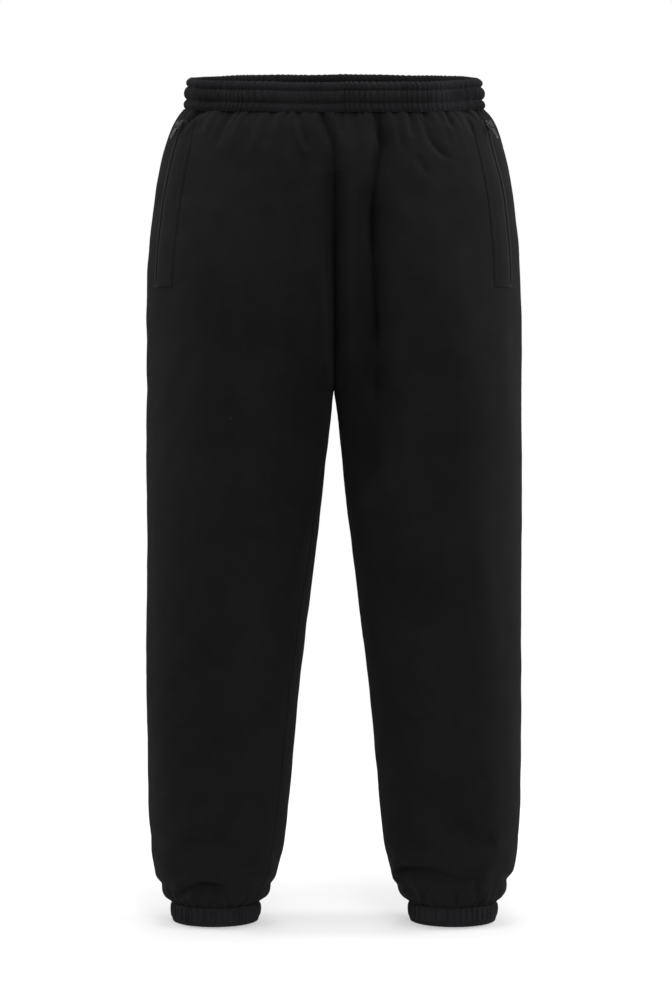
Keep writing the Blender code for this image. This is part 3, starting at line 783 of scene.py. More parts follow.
def seam_turns(side, heights, front):
    """Where a panel ends: at the rise seam above the crotch, and at the inseam below it."""
    sizes = sizes_at(heights)
    middle = (sizes["outer"] + sizes["inner"]) / 2
    half_width = (sizes["outer"] - sizes["inner"]) / 2
    forward = np.radians(between(INSEAMS, INSEAM_COLUMNS, "left" if side == LEFT else "right", heights))
    reach = np.where(front | (forward > 0), sizes["front"], sizes["back"])
    pace = np.hypot(half_width * np.sin(forward), reach * np.cos(forward))
    at_inseam = math.pi - SEAM_CLEAR / pace + (-forward if front else forward)
    at_rise = np.arccos(np.clip((SEAM_CLEAR - middle) / half_width, -1, 1))
    return np.where(heights > CROTCH, at_rise, at_inseam)


EDGE_SHARES = (0, 0.0018, 0.004, 0.007, 0.011)


def column_shares(count):
    """Shares across a panel from 0 to 1, closer together at its two seams."""
    inner = np.linspace(EDGE_SHARES[-1], 1 - EDGE_SHARES[-1], count)[1:-1]
    edges = np.array(EDGE_SHARES)
    return np.concatenate([edges, inner, 1 - edges[::-1]])


PANEL_TOP = -32.5
PANEL_BOTTOM = -991.0
PANEL_STOPS = (PANEL_TOP, -60, -130, -180, -330, -374, -420, -560, -860, -925, PANEL_BOTTOM)
FRONT_SPACINGS = (1.3, 1.8, 2.2, 4.5, 4.5, 2.0, 5.0, 8.0, 6.0, 2.2, 1.3)
BACK_SPACINGS = (1.8, 2.4, 3.5, 6.0, 4.5, 2.5, 5.0, 8.0, 6.5, 2.8, 1.8)
FRONT_PANEL_COLUMNS = 172
BACK_PANEL_COLUMNS = 150
SEAM_DIP = 0.9
SEAM_REACH = 1.4
RISE_STOPS = (-54, -75, -110, -150, -200, -320, -350, -374)
RISE_SINKS = (0.0, 2.0, 9.0, 30.0, 50.0, 50.0, 20.0, 0.0)
RISE_REACH = 9.2
RISE_FLAT = {"left": 0.0, "right": 2.5}
BACK_RISE_SHARE = 0.7
RISE_EDGE = 1.3
PUCKER = 0.15
PUCKER_REACH = 5
SIDE_PACE = 120.0
TUCKED_CLEAR = -0.8


def leg_panel(word, front, thickness):
    """A front or back leg panel: one layer of fleece, drawn in along its seams and sunk beside the rise."""
    side = SIDES[word]
    name = ("front_" if front else "back_") + word
    heights = row_heights(PANEL_TOP, PANEL_BOTTOM, PANEL_STOPS, FRONT_SPACINGS if front else BACK_SPACINGS)
    shares = column_shares(FRONT_PANEL_COLUMNS if front else BACK_PANEL_COLUMNS)
    ends = seam_turns(side, heights, front)
    start = SEAM_CLEAR / SIDE_PACE
    turns = start + (ends[:, None] - start) * shares[None, :]
    if not front:
        turns = -turns
    rows, columns = turns.shape
    tall = np.broadcast_to(heights[:, None], turns.shape)
    smooth = form_points(side, turns, tall)
    widths = np.linalg.norm(np.diff(smooth, axis=1), axis=2).sum(1)
    from_edge = np.minimum(shares, 1 - shares)[None, :] * widths[:, None]
    pucker = PUCKER * np.sin(tall / 1.9 + 2 * np.sin(tall / 11)) * np.exp(-from_edge / PUCKER_REACH)
    dip = -SEAM_DIP * np.exp(-from_edge / SEAM_REACH)
    points, _ = cloth_points(side, turns, tall, dip + pucker)
    from_rise = (1 - shares)[None, :] * widths[:, None]
    sink = np.interp(-heights, -np.array(RISE_STOPS), RISE_SINKS, right=0.0)[:, None]
    sink = sink * np.exp(-((np.maximum(from_rise - RISE_FLAT[word], 0) / RISE_REACH) ** RISE_EDGE))
    points[..., 1] += sink if front else -BACK_RISE_SHARE * sink
    points[..., 0] = side * np.maximum(side * points[..., 0], SEAM_CLEAR)
    at_rise = (tall > CROTCH) & (shares[None, :] == 1)
    clear = np.where(tall > WAIST_SEAM - 1.0, TUCKED_CLEAR, SEAM_CLEAR)
    points[..., 0] = np.where(at_rise, side * clear, points[..., 0])
    faces = grid_faces(rows, columns, flip=(side == LEFT) != front)
    piece = new_piece(name + "_cloth", points, faces, "fleece", cut_places(points), name)
    wall = piece.modifiers.new("Cloth", "SOLIDIFY")
    wall.thickness = thickness * MM
    wall.offset = -1
    return piece


BAND_GROOVES = (0.0, -9.8, -24.9, -36.0)
BAND_PUFFS = (2.5, 3.2, 2.6)
BAND_RIPPLES = (2.4, 3.6, 2.7)
BAND_PITCH = 5.6
BAND_FINE_PITCH = 3.6
BAND_SINK = 2.1
BAND_COLUMNS = 640
BAND_GIRTH = 465.0
BAND_REACH = 174.5
BAND_INSIDE = 5.2
BAND_TOP = ((0.1, -2.5, 0.15), (0.35, -3.0, 0.1), (0.0, -3.6, 0.1))
# The plain strip beside the centre-back and centre-front seams.
BAND_STRIP = {"left": 12.0, "right": 3.0}


def channel_place(heights):
    """For each height on the waistband: its channel, and its place in it from -1 to 1."""
    channel = np.clip(np.searchsorted(-np.array(BAND_GROOVES), -heights, side="left") - 1, 0, 2)
    high = np.array(BAND_GROOVES)[channel]
    low = np.array(BAND_GROOVES)[channel + 1]
    return channel, (heights - (high + low) / 2) / ((high - low) / 2)


def band_offsets(heights):
    """How far the waistband's outer face stands out of the form, and how strongly it ripples."""
    channel, place = channel_place(heights)
    dome = np.clip(1 - place**2, 0, 1)
    proud = np.array(BAND_PUFFS)[channel] * dome ** np.where(channel == 2, 0.75, 0.55) - BAND_SINK
    proud += 0.9 * np.exp(-(heights - WAIST_SEAM) / 1.5) - 1.8 * np.exp(heights / 1.6)
    strength = 0.35 + (np.array(BAND_RIPPLES)[channel] - 0.35) * dome**0.5
    return proud, strength


def waistband(word):
    """Half of the waistband: one strip of fleece folded over at the top, gathered on three rows of elastic."""
    side = SIDES[word]
    start = math.acos(SEAM_CLEAR / BAND_REACH)
    turns = np.linspace(start, -start, BAND_COLUMNS)
    outer_heights = np.linspace(-36.0, -0.6, 50)
    inner_heights = np.linspace(-0.9, -35.8, 26)
    proud, strength = band_offsets(outer_heights)
    inner_proud, inner_strength = band_offsets(inner_heights)
    top_heights, top_offsets, top_ripples = np.array(BAND_TOP).T
    heights = np.concatenate([outer_heights, top_heights, inner_heights])
    offsets = np.concatenate([proud, top_offsets, -BAND_INSIDE - 0.5 * inner_proud])
    ripple_sizes = np.concatenate([strength, top_ripples, -0.6 * inner_strength])
    along = np.linspace(0, BAND_GIRTH, BAND_COLUMNS)
    plain = soft_step(2, BAND_STRIP[word] + 2, along) * soft_step(2, 8, BAND_GIRTH - along)
    seam = np.exp(-np.minimum(along, BAND_GIRTH - along) / 1.3)
    seed = 51 if side == LEFT else 67
    uneven = 0.75 + 0.35 * np.sin(along / 31.0 + seed) + 0.2 * np.sin(along / 11.3)
    base = ripples(along, BAND_GIRTH, BAND_PITCH, seed)
    fine = ripples(along, BAND_GIRTH, BAND_FINE_PITCH, seed + 1)
    wave = np.sin(along / 23.0 + seed) * 0.35 + np.sin(along / 9.0) * 0.15
    rows = []
    for height, offset, size in zip(heights, offsets, ripple_sizes):
        leaning = ripples(along + 1.1 * math.sin(height / 5.0), BAND_GIRTH, BAND_PITCH, seed)
        ripple = (0.75 * (0.6 * base + 0.4 * leaning) + 0.25 * fine) * size * plain * uneven
        tall = height + plain * (0.45 * base * math.exp(-abs(height) / 4.0) + wave)
        points, normals = cloth_points(side, turns, tall, creased=False)
        rows.append(points + level(normals) * (offset + ripple - 1.5 * seam)[:, None])
    points = np.array(rows)
    points[:, [0, -1], 0] = side * SEAM_CLEAR
    faces = grid_faces(len(points), BAND_COLUMNS, flip=side == RIGHT)
    name = "waistband_" + word
    piece = new_piece(name + "_casing", points, faces, "casing", cut_places(points), name)
    for groove in BAND_GROOVES[1:3]:
        row = int(np.argmin(np.abs(outer_heights - groove)))
        SEWN_LINES.append((points[row], level(form_normals(side, turns, np.full(BAND_COLUMNS, groove))), False))
    return piece


CUFF_COLUMNS = 420
# The cuff's outer and inner faces: how far below the seam, and how far out of the form.
CUFF_OUTER = (
    (0, -0.5), (0.8, 0.0), (1.8, 0.5), (3, 0.9), (4.5, 1.2), (6.5, 1.4), (9, 1.5), (12, 1.5), (14.5, 1.45),
    (16.6, 1.3), (17.6, 1.0), (18.2, 0.3), (18.7, -0.3), (19.2, 0.2), (19.9, 0.6), (20.4, 0.1), (20.8, -0.4),
    (21.3, 0.1), (22.0, 0.0), (22.6, -0.8), (23.0, -2.0), (23.1, -3.0),
)
CUFF_INNER = ((22.7, -4.1), (21.5, -4.9), (19, -5.2), (14, -5.4), (9, -5.4), (4, -5.2), (0.5, -4.4))
CUFF_SEWN = (12, 16)
CUFF_RIPPLES = ((0, 0.6), (3, 1.5), (8, 2.0), (14, 1.7), (18, 0.7), (23, 0.5))
CUFF_GIRTH = 333.0
CUFF_PITCH = 7.0
CUFF_FINE_PITCH = 4.6


def cuff(word):
    """An ankle cuff: one strip folded under at the bottom and gathered on elastic."""
    side = SIDES[word]
    turns = np.linspace(0, 2 * math.pi, CUFF_COLUMNS, endpoint=False)
    along = np.linspace(0, CUFF_GIRTH, CUFF_COLUMNS, endpoint=False)
    strength = np.interp([drop for drop, _ in CUFF_OUTER], *zip(*CUFF_RIPPLES))
    strength = np.concatenate([strength, np.full(len(CUFF_INNER), -0.6)])
    seed = 83 if side == LEFT else 97
    base = ripples(along, CUFF_GIRTH, CUFF_PITCH, seed, ring=True)
    fine = ripples(along, CUFF_GIRTH, CUFF_FINE_PITCH, seed + 1, ring=True)
    rows, ways = [], []
    for (drop, offset), size in zip(CUFF_OUTER + CUFF_INNER, strength):
        ripple = (0.8 * base + 0.3 * fine) * size
        points, normals = cloth_points(side, turns, np.full(CUFF_COLUMNS, CUFF_SEAM - drop), creased=False)
        rows.append(points + level(normals) * (offset + ripple)[:, None])
        ways.append(level(normals))
    points = np.array(rows)
    faces = grid_faces(len(points), CUFF_COLUMNS, ring=True, flip=side == RIGHT)
    name = "cuff_" + word
    # The cuff finish is the casing painted lighter, as painted light.
    piece = new_piece(name + "_casing", points, faces, "cuff", cut_places(points), name)
    for row in CUFF_SEWN:
        SEWN_LINES.append((points[row], ways[row], True))
    return piece


# ---------------------------------------------------------------- pockets

WELT_SECTION = (
    (0.015, 0.5), (0.0, 0.85), (0.02, 1.15), (0.07, 1.4), (0.2, 1.65), (0.4, 1.65), (0.6, 1.5), (0.74, 1.2),
    (0.79, 1.0), (0.84, 1.0), (0.89, 0.85), (0.95, 0.5), (1.0, 0.05), (0.97, -0.05), (0.7, 0.1), (0.3, 0.2),
)
WELT_SEWN = 8
WELT_ROWS = 120
WELT_GAP_TURN = 0.2
TAPE_ROWS = 90
END_ROUND = 1.6
STRIP_LIFT = 0.3


def strip_grid(side, heights, low, high, section):
    """Points of a strip laid on the front panel, ring by ring: low and high are its two edges, as turns."""
    shares = np.array([share for share, _ in section])
    lifts = np.array([lift for _, lift in section])
    ends = np.minimum(heights[0] - heights, heights - heights[-1])
    rounding = np.sqrt(np.clip(1 - (1 - np.clip(ends / END_ROUND, 0, 1)) ** 2, 0, 1))
    turns = low[:, None] + (high - low)[:, None] * shares[None, :]
    tall = np.broadcast_to(heights[:, None], turns.shape)
    lift = STRIP_LIFT + (lifts[None, :] - STRIP_LIFT) * (0.35 + 0.65 * rounding[:, None])
    return cloth_points(side, turns, tall, lift)


def end_caps(rows, columns, flip):
    caps = [tuple(range(columns))[::-1], tuple(range((rows - 1) * columns, rows * columns))]
    return [cap[::-1] for cap in caps] if flip else caps


def strip_heights(rows):
    ends = np.array([0, 0.3, 0.8, 1.6, 2.6])
    inner = np.linspace(4, POCKET_TOP - POCKET_BOTTOM - 4, rows - 2 * len(ends))
    down = np.concatenate([ends, inner, POCKET_TOP - POCKET_BOTTOM - ends[::-1]])
    return POCKET_TOP - down


def pocket_strip(word, kind, suffix, finish_name, heights, low, high, section):
    """A closed strip laid along the pocket, for the solid of this kind. Its piece, points and normals."""
    side = SIDES[word]
    points, normals = strip_grid(side, heights, low, high, section)
    rows, columns = points.shape[:2]
    flip = side == RIGHT
    faces = grid_faces(rows, columns, ring=True, flip=flip) + end_caps(rows, columns, not flip)
    name = kind + "_" + word
    piece = new_piece(name + suffix, points, faces, finish_name, cut_places(points), name)
    return piece, points, normals


def pocket_welt(word):
    """The welt that covers the panel from the zip to its front edge."""
    heights = strip_heights(WELT_ROWS)
    low = pocket_turns("zip", heights) + math.radians(ZIP_HALF_TURN + WELT_GAP_TURN)
    piece, points, normals = pocket_strip(
        word, "pocket_welt", "_cloth", "fleece", heights, low, pocket_turns("welt", heights), WELT_SECTION
    )
    sewn = slice(3, -3)
    SEWN_LINES.append((points[sewn, WELT_SEWN], normals[sewn, WELT_SEWN], False))
    return piece


TAPE_SECTION = ((0.0, 0.1), (0.0, 0.5), (0.05, 0.7), (0.36, 0.9), (0.5, 0.8), (0.64, 0.9), (0.95, 0.7),
                (1.0, 0.5), (1.0, 0.1))
COIL_PITCH = 1.3
COIL_LIFT = 1.5
COIL_LEAN = 0.16
COIL_ASIDE = 0.45
COIL_LOOP = (3.4, 1.05, 1.1)


def zip_tape(word):
    """The closed zip's tape, sewn down beside the welt."""
    heights = strip_heights(TAPE_ROWS)
    middle = pocket_turns("zip", heights)
    half = math.radians(ZIP_HALF_TURN)
    return pocket_strip(
        word, "zip", "_tape", "tape", heights, middle - half, middle + half, TAPE_SECTION
    )[0]


BEAD_RINGS = ((-0.5, 0.0), (-0.42, 0.62), (-0.2, 1.0), (0.2, 1.0), (0.42, 0.62), (0.5, 0.0))
BEAD_SIDES = 6


def bead_shape(long, wide, high):
    """A small rounded bar: its points along X, and its faces."""
    points, faces = [], []
    for share, size in BEAD_RINGS:
        for k in range(BEAD_SIDES):
            turn = 2 * math.pi * k / BEAD_SIDES
            points.append((share * long, size * wide / 2 * math.cos(turn), size * high / 2 * math.sin(turn)))
    for i in range(len(BEAD_RINGS) - 1):
        for k in range(BEAD_SIDES):
            beside = (k + 1) % BEAD_SIDES
            a, b = i * BEAD_SIDES + k, i * BEAD_SIDES + beside
            faces.append((a, a + BEAD_SIDES, b + BEAD_SIDES, b))
    return np.array(points), faces


def many(shape, places, along, out):
    """Copies of a small shape: X lies along the line there, and Z points out of the cloth."""
    points, faces = shape
    along = unit(along)
    out = unit(out - (out * along).sum(-1, keepdims=True) * along)
    across = np.cross(out, along)
    axes = np.stack([along, across, out], axis=1)
    placed = places[:, None, :] + np.einsum("pk,nkc->npc", points, axes)
    all_faces = [face for i in range(len(places)) for face in shifted(faces, i * len(points))]
    return placed.reshape(-1, 3), all_faces


def evenly(line, pitch, ring=False):
    """The line, closed if it is a ring, how far along it each of its points is, and marks evenly spaced along it."""
    if ring:
        line = np.vstack([line, line[:1]])
    lengths = np.concatenate([[0], np.cumsum(np.linalg.norm(np.diff(line, axis=0), axis=1))])
    count = max(2, int(round(lengths[-1] / pitch)))
    marks = (np.arange(count) + 0.5) * lengths[-1] / count
    return line, lengths, marks


def along_line(line, lengths, marks):
    return np.stack([np.interp(marks, lengths, line[:, k]) for k in range(3)], axis=-1)


def zip_coil(word):
    """The closed coil: small nylon loops that lock from the two sides in turn."""
    side = SIDES[word]
    heights = np.linspace(POCKET_TOP - 3, POCKET_BOTTOM + 4, 160)
    line, normals = cloth_points(side, pocket_turns("zip", heights), heights, COIL_LIFT)
    line, lengths, marks = evenly(line, COIL_PITCH)
    places = along_line(line, lengths, marks)
    down = along_line(line, lengths, marks + 0.5) - along_line(line, lengths, marks - 0.5)
    out = along_line(normals, lengths, marks)
    across = unit(np.cross(out, down))
    turn = np.where(np.arange(len(marks)) % 2 == 0, 1.0, -1.0)[:, None]
    lean = COIL_LEAN * turn * unit(down)
    points, faces = many(bead_shape(*COIL_LOOP), places + COIL_ASIDE * turn * across, across + lean, out)
    return new_piece("zip_" + word + "_coil", points, faces, "coil")


STITCH_SIZES = (2.1, 0.5, 0.42)
STITCH_PITCH = 2.8
STITCH_PROUD = 0.08
SEWN_LINES = []


def stitches():
    """Every visible row of thread, as one piece."""
    shape = bead_shape(*STITCH_SIZES)
    points, faces = np.zeros((0, 3)), []
    for line, normals, ring in SEWN_LINES:
        if ring:
            normals = np.vstack([normals, normals[:1]])
        line, lengths, marks = evenly(line, STITCH_PITCH, ring)
        marks = np.clip(marks, 1, lengths[-1] - 1)
        out = along_line(normals, lengths, marks)
        places = along_line(line, lengths, marks) + STITCH_PROUD * out
        along = along_line(line, lengths, marks + 0.9) - along_line(line, lengths, marks - 0.9)
        placed, placed_faces = many(shape, places, along, out)
        faces += shifted(placed_faces, len(points))
        points = np.concatenate([points, placed])
    return new_piece("stitches", points, faces, "thread")


# ---------------------------------------------------------------- zip sliders and pulls

# The left pull's hinge, and the directions across the zip, up it and out of the cloth. The right one mirrors it.
HINGE = (184.258, -46.945, -58.601)
ACROSS = (0.54662, 0.83722, 0.01635)
UP = (-0.40624, 0.24806, 0.87945)
OUT = (0.73224, -0.48736, 0.47571)
HINGE_UP = 2.9
PLATE_OUTLINE = ((-3.1, -6.0), (3.1, -6.0), (4.3, 2.0), (3.4, 6.0), (-3.4, 6.0), (-4.3, 2.0))
PULL_OUTLINE = (
    (-2.6, 0.7), (-3.1, 0.1), (-3.1, -15.5), (-2.2, -18.6), (0.0, -19.6), (2.2, -18.6), (3.1, -15.5), (3.1, 0.1),
    (2.6, 0.7),
)
HOLE_OUTLINE = ((-1.7, -0.7), (-1.7, -6.2), (1.7, -6.2), (1.7, -0.7))
BRIDGE_PATH = ((-4.1, 0.6), (-4.1, 3.6), (-3.9, 4.3), (-3.3, 4.62), (3.3, 4.62), (3.9, 4.3), (4.1, 3.6), (4.1, 0.6))
# The bridge's half width and half thickness.
BRIDGE_SIZES = (1.0, 0.46)
PLATE_SIDES, BRIDGE_SIDES, PULL_SIDES = 64, 14, 96
# The layers of the plate and the pull: how far in from the outline, and how high. The hole's are listed apart.
PLATE_LAYERS = ((0.25, 0.0), (0.0, 0.3), (0.0, 1.0), (0.2, 1.35), (0.6, 1.55), (1.1, 1.6))
PULL_LAYERS = ((0.3, -0.65), (0.08, -0.53), (0.0, -0.35), (0.0, 0.35), (0.08, 0.53), (0.3, 0.65))
HOLE_LAYERS = ((-0.2, 0.65), (0.0, 0.45), (0.0, -0.45), (-0.2, -0.65))
SHARP_DEGREES = 50


def hinge_axes(side):
    """The place of the hinge and the three directions there."""
    mirror = np.array([side, 1, 1], float)
    return np.array(HINGE) * mirror, np.array([side * np.array(ACROSS) * mirror, UP * mirror, OUT * mirror])


def rounded(outline, radius, count):
    """Points evenly spaced round an outline whose corners are rounded."""
    outline = np.array(outline, float)
    corners = []
    for i in range(len(outline)):
        before, corner, after = outline[i - 1], outline[i], outline[(i + 1) % len(outline)]
        reach = min(radius, np.linalg.norm(before - corner) * 0.45, np.linalg.norm(after - corner) * 0.45)
        start = corner + unit(before - corner) * reach
        stop = corner + unit(after - corner) * reach
        for t in np.linspace(0, 1, 7):
            corners.append((1 - t) ** 2 * start + 2 * t * (1 - t) * corner + t**2 * stop)
    line = np.array(corners + corners[:1])
    lengths = np.concatenate([[0], np.cumsum(np.linalg.norm(np.diff(line, axis=0), axis=1))])
    marks = np.linspace(0, lengths[-1], count, endpoint=False)
    return np.stack([np.interp(marks, lengths, line[:, k]) for k in range(2)], axis=-1)


def inset(loop, distance):
    """A closed loop moved towards its inside."""
    along = unit(np.roll(loop, -1, axis=0) - np.roll(loop, 1, axis=0))
    area = (loop[:, 0] * np.roll(loop[:, 1], -1) - loop[:, 1] * np.roll(loop[:, 0], -1)).sum()
    inward = np.stack([-along[:, 1], along[:, 0]], axis=-1) * math.copysign(1, area)
    return loop + inward * distance


def metal_piece(name, points, faces, side, body=GARMENT):
    """A metal piece, from points about the hinge: across the zip, up it and out of the cloth."""
    place, axes = hinge_axes(side)
    if side == RIGHT:
        faces = [face[::-1] for face in faces]
    points = place + np.asarray(points) @ axes
    piece = new_piece(name + "_metal", points, faces, "gunmetal", stands_for=name, body=body)
    piece.data.set_sharp_from_angle(angle=math.radians(SHARP_DEGREES))
    return piece


def stacked(loops, closed=False):
    """Points and faces that join closed loops one after the other, and the last to the first if closed."""
    return np.concatenate(loops), grid_faces(len(loops), len(loops[0]), ring=True, closed=closed)


def layers(outline, table):
    """The outline at each layer of the table (how far in, how high)."""
    return [at_height(inset(outline, inward) if inward else outline, high) for inward, high in table]


def at_height(loop, z):
    return np.column_stack([loop, np.full(len(loop), z)])


def zip_slider(word):
    """The slider's plate and its arched bridge, as one piece."""
    points, faces = stacked(layers(rounded(PLATE_OUTLINE, 1.6, PLATE_SIDES), PLATE_LAYERS))
    faces += end_caps(len(PLATE_LAYERS), PLATE_SIDES, False)
    path = smooth_path([(0, y, z) for y, z in BRIDGE_PATH], 42)
    beside = np.array([1.0, 0, 0])
    out = np.cross(unit(np.gradient(path, axis=0)), beside)
    turns = np.linspace(0, 2 * math.pi, BRIDGE_SIDES, endpoint=False)
    wide, thick = BRIDGE_SIZES
    arch, arch_faces = stacked([
        place + np.outer(np.cos(turns), beside) * wide + np.outer(np.sin(turns), way) * thick
        for place, way in zip(path, out)
    ])
    faces += shifted(arch_faces, len(points))
    points = np.concatenate([points, arch]) + (0, 0, -HINGE_UP)
    return metal_piece("zip_slider_" + word, points, faces, SIDES[word])


def zip_pull(word):
    """The pull tab: a flat bar with softened edges and a window at the top."""
    outer = rounded(PULL_OUTLINE, 1.2, PULL_SIDES)
    hole = rounded(HOLE_OUTLINE, 0.7, PULL_SIDES)
    nearest = int(np.argmin(np.linalg.norm(hole - outer[0], axis=1)))
    hole = np.roll(hole, -nearest, axis=0)
    points, faces = stacked(layers(outer, PULL_LAYERS) + layers(hole, HOLE_LAYERS), closed=True)
    return metal_piece("zip_pull_" + word, points, faces, SIDES[word], "pull_" + word)


# ---------------------------------------------------------------- stage

FLOOR_REACH = 1.5
FLOOR_GAP = 0.002
FLOOR_TONES = (0.34, 0.36)
# The floor is lit differently from the garment out to this far, in metres, and fades between the two.
NEAR_REACH = (0.2, 0.6)
WHITE = (1, 1, 1, 1)
# Name, place, the height it is aimed at, its size and its power.
LAMPS = (
    ("front", (0.45, -2.7, 1.4), -0.45, 1.2, 49),
    ("left_rim", (2.2, 0.45, 0.1), -0.45, 1.2, 42),
    ("right_rim", (-2.2, 0.45, 0.1), -0.45, 1.2, 30),
    ("top", (0.0, -0.5, 2.3), -0.45, 1.2, 60),
    ("behind", (0.0, 1.6, 2.0), -0.9, 1.2, 26),
    ("low", (0.3, -1.9, -0.75), -0.98, 0.5, 5),
)


def floor_material(settings):
    """A pale floor, which the camera sees lifted towards white."""
    material, tree = new_material("Pale floor")
    grain = add_node(tree, "TexNoise", {"Scale": 3.0, "Detail": 2.0}).outputs["Fac"]
    low, high = [(tone, tone, tone, 1) for tone in FLOOR_TONES]
    place = add_node(tree, "TexCoord", {}).outputs["Object"]
    away = tree.nodes.new("ShaderNodeVectorMath")
    away.operation = "LENGTH"
    fill(tree, away.inputs[0], place)
    near = add_node(
        tree, "MapRange",
        {"Value": away.outputs["Value"], "From Min": NEAR_REACH[0], "From Max": NEAR_REACH[1], "To Min": 1.0,
         "To Max": 0.0},
        interpolation_type="SMOOTHSTEP",
    ).outputs["Result"]
    seen = maths(tree, "MULTIPLY_ADD", near, -settings.floor_shade, settings.floor_glow)
    cast = maths(tree, "MULTIPLY", near, settings.floor_bounce)
    from_camera = add_node(tree, "LightPath", {}).outputs["Is Camera Ray"]
    values = {
        "Base Color": mixed(tree, grain, low, high), "Roughness": 0.9, "Specular IOR Level": 0.0,
        "Emission Color": WHITE,
        "Emission Strength": add_node(tree, "Mix", {"Factor": from_camera, "A": cast, "B": seen}).outputs["Result"],
    }
    for label, value in values.items():
        fill(tree, tree.nodes["Principled BSDF"].inputs[label], value)
    return material


def stage(settings):
    scene = bpy.context.scene
    mesh = bpy.data.meshes.new("floor")
    corners = [(-1, -1), (1, -1), (1, 1), (-1, 1)]
    mesh.from_pydata([(FLOOR_REACH * x, FLOOR_REACH * y, 0) for x, y in corners], [], [(0, 1, 2, 3)])
    floor = bpy.data.objects.new("floor", mesh)
    floor.location.z = CAD_BOX[0].z - FLOOR_GAP
    scene.collection.objects.link(floor)
    mesh.materials.append(floor_material(settings))

    world = bpy.data.worlds.new("Studio")
    world.use_nodes = True
    sky = world.node_tree
    seen = sky.nodes["Background"]
    fill(sky, seen.inputs["Color"], WHITE)
    cast = add_node(sky, "Background", {"Color": WHITE, "Strength": settings.ambient})
    from_camera = add_node(sky, "LightPath", {}).outputs["Is Camera Ray"]
    either = add_node(sky, "MixShader", {"Fac": from_camera})
    fill(sky, either.inputs[1], cast.outputs[0])
    fill(sky, either.inputs[2], seen.outputs[0])
    fill(sky, sky.nodes["World Output"].inputs["Surface"], either.outputs[0])
    scene.world = world
    for name, place, aim_height, size, power in LAMPS:
        lamp = bpy.data.lights.new(name, "AREA")
        lamp.energy = power * settings.lamps
        lamp.size = size
        lamp.shape = "DISK"
        lamp_object = bpy.data.objects.new(name, lamp)
        lamp_object.location = place
        lamp_object.visible_camera = False
        aim = Vector((0, 0, aim_height)) - Vector(place)
        lamp_object.rotation_euler = aim.to_track_quat("-Z", "Y").to_euler()
        scene.collection.objects.link(lamp_object)


# How far the view reaches from top to bottom at the garment, in millimetres, and how far the camera stands to its side.
VIEW_TALL = 1209.6
CAMERA_ASIDE = 0.0023


def camera(settings):
    data = bpy.data.cameras.new("camera")
    data.sensor_width = 36.0
    data.lens = data.sensor_width * settings.distance / (VIEW_TALL * MM)
    data.clip_start, data.clip_end = 0.1, 50
    view = bpy.data.objects.new("camera", data)
    view.location = (CAMERA_ASIDE, -settings.distance, settings.height)
    view.rotation_euler = (math.radians(90 - settings.pitch), 0, 0)
    bpy.context.scene.collection.objects.link(view)
    bpy.context.scene.camera = view
    bpy.context.scene.view_settings.view_transform = "Standard"


# ---------------------------------------------------------------- add-on

def number(name, description, default, **limits):
    return bpy.props.FloatProperty(name=name, description=description, default=default, **limits)


def tint(name, description, *default):
    return bpy.props.FloatVectorProperty(name=name, description=description, default=default, subtype="COLOR", size=3)


class JoggersCloth(bpy.types.PropertyGroup):
    """Sizes of the cloth."""

    thickness: number("Thickness", "Thickness of the fleece, in millimetres", 2.0, min=1.0, max=3.0)


class JoggersColours(bpy.types.PropertyGroup):
    """Colours of the finishes."""

    cloth: tint("Fleece", "Colour of the fleece", 0.0047, 0.0047, 0.0052)
    cloth_pale: tint("Fleece, raised nap", "Colour where the nap catches the light", 0.0088, 0.0088, 0.0095)
    # The casing is the same fleece, set lighter than it: part of that lift is painted light, standing in for the light
    # the waistband and cuffs catch.
    casing: tint("Casing", "Colour of the gathered waistband and cuffs", 0.0073, 0.0073, 0.0081)
    casing_pale: tint("Casing, raised nap", "Colour where their nap catches the light", 0.0138, 0.0138, 0.0151)
    tape: tint("Zip tape", "Colour of the zip tape and coil", 0.0090, 0.0090, 0.0100)
    metal: tint("Zip metal", "Colour of the slider and pull", 0.062, 0.062, 0.066)


class JoggersStage(bpy.types.PropertyGroup):
    """The camera and the light."""

    distance: number("Distance", "Camera distance from the garment", 3.4, subtype="DISTANCE", unit="LENGTH")
    height: number("Height", "Camera height against the waist", -0.37, subtype="DISTANCE", unit="LENGTH")
    pitch: number("Pitch", "How far the camera looks down, in degrees", 2.33)
    ambient: number("Ambient", "Strength of the light all round", 0.55)
    lamps: number("Lamps", "Strength of the soft lamps", 1.0)
    floor_glow: number("Floor", "How much the floor is lifted towards white", 0.56)
    floor_shade: number("Floor shade", "How much less it is lifted near the garment", 0.07)
    floor_bounce: number("Floor bounce", "Soft light that the floor gives to the cuffs", 0.55)


class JOGGERS_OT_legs(bpy.types.Operator):
    """Build the four leg panels."""

    bl_idname = "joggers.legs"
    bl_label = "Leg panels"

    def execute(self, context):
        thickness = context.scene.joggers_cloth.thickness
        for word in SIDES:
            for front in (True, False):
                leg_panel(word, front, thickness)
        return {"FINISHED"}


class JOGGERS_OT_waistband(bpy.types.Operator):
    """Build the two halves of the gathered waistband."""

    bl_idname = "joggers.waistband"
    bl_label = "Waistband"

    def execute(self, context):
        for word in SIDES:
            waistband(word)
        return {"FINISHED"}


class JOGGERS_OT_cuffs(bpy.types.Operator):
    """Build the two gathered ankle cuffs."""

    bl_idname = "joggers.cuffs"
    bl_label = "Cuffs"

    def execute(self, context):
        for word in SIDES:
            cuff(word)
        return {"FINISHED"}


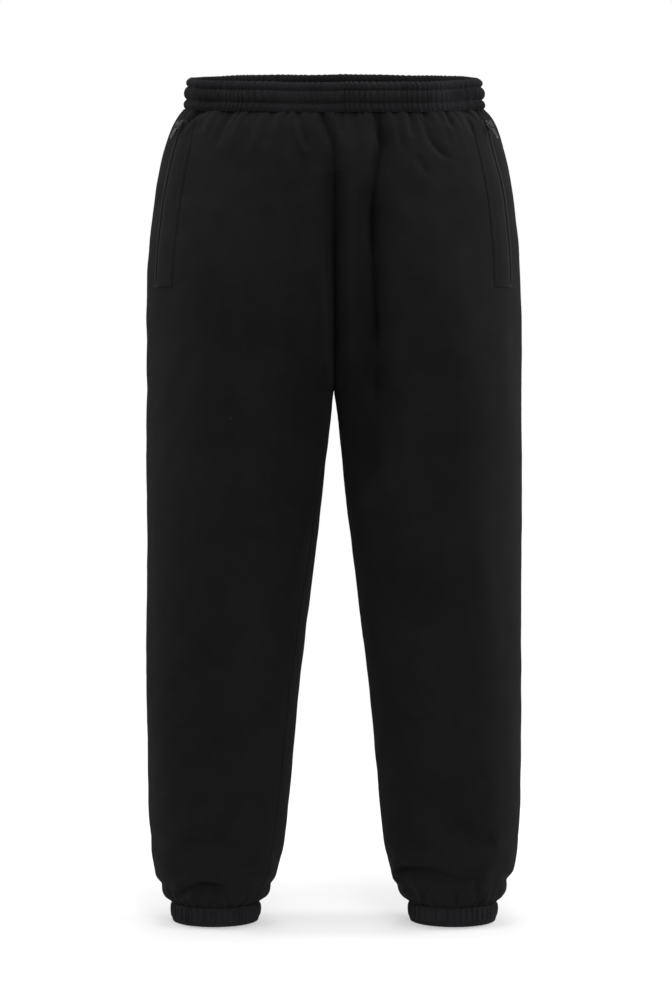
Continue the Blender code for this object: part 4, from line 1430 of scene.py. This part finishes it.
class JOGGERS_OT_pockets(bpy.types.Operator):
    """Build the pocket welts and the zips, with their sliders and pulls."""

    bl_idname = "joggers.pockets"
    bl_label = "Zip pockets"

    def execute(self, context):
        for word in SIDES:
            pocket_welt(word)
            zip_tape(word)
            zip_coil(word)
            zip_slider(word)
            zip_pull(word)
        return {"FINISHED"}


class JOGGERS_OT_stitches(bpy.types.Operator):
    """Sew the visible rows of thread."""

    bl_idname = "joggers.stitches"
    bl_label = "Stitches"

    def execute(self, context):
        if not SEWN_LINES:
            raise RuntimeError("The waistband, cuffs or pockets come before their stitches.")
        stitches()
        return {"FINISHED"}


class JOGGERS_OT_stage(bpy.types.Operator):
    """Set the floor, the light and the camera."""

    bl_idname = "joggers.stage"
    bl_label = "Stage"

    def execute(self, context):
        stage(context.scene.joggers_stage)
        camera(context.scene.joggers_stage)
        return {"FINISHED"}


class JOGGERS_PT_panel(bpy.types.Panel):
    """Sizes and colours of the joggers, and the operators that build them."""

    bl_label = "Jogger sweatpants"
    bl_space_type = "VIEW_3D"
    bl_region_type = "UI"
    bl_category = "Joggers"

    def draw(self, context):
        for group in SETTINGS:
            settings = getattr(context.scene, group)
            for name in settings.__annotations__:
                self.layout.prop(settings, name)
        for operator in OPERATORS:
            self.layout.operator(operator.bl_idname)


SETTINGS = {"joggers_cloth": JoggersCloth, "joggers_colours": JoggersColours, "joggers_stage": JoggersStage}
OPERATORS = (
    JOGGERS_OT_stage, JOGGERS_OT_legs, JOGGERS_OT_waistband, JOGGERS_OT_cuffs, JOGGERS_OT_pockets, JOGGERS_OT_stitches,
)


def register():
    for name, group in SETTINGS.items():
        bpy.utils.register_class(group)
        setattr(bpy.types.Scene, name, bpy.props.PointerProperty(type=group))
    for kind in (*OPERATORS, JOGGERS_PT_panel):
        bpy.utils.register_class(kind)


def unregister():
    for kind in (JOGGERS_PT_panel, *reversed(OPERATORS)):
        bpy.utils.unregister_class(kind)
    for name, group in SETTINGS.items():
        delattr(bpy.types.Scene, name)
        bpy.utils.unregister_class(group)


def main():
    register()
    for operator in OPERATORS:
        getattr(bpy.ops.joggers, operator.bl_idname.split(".")[1])()


if __name__ == "__main__":
    main()
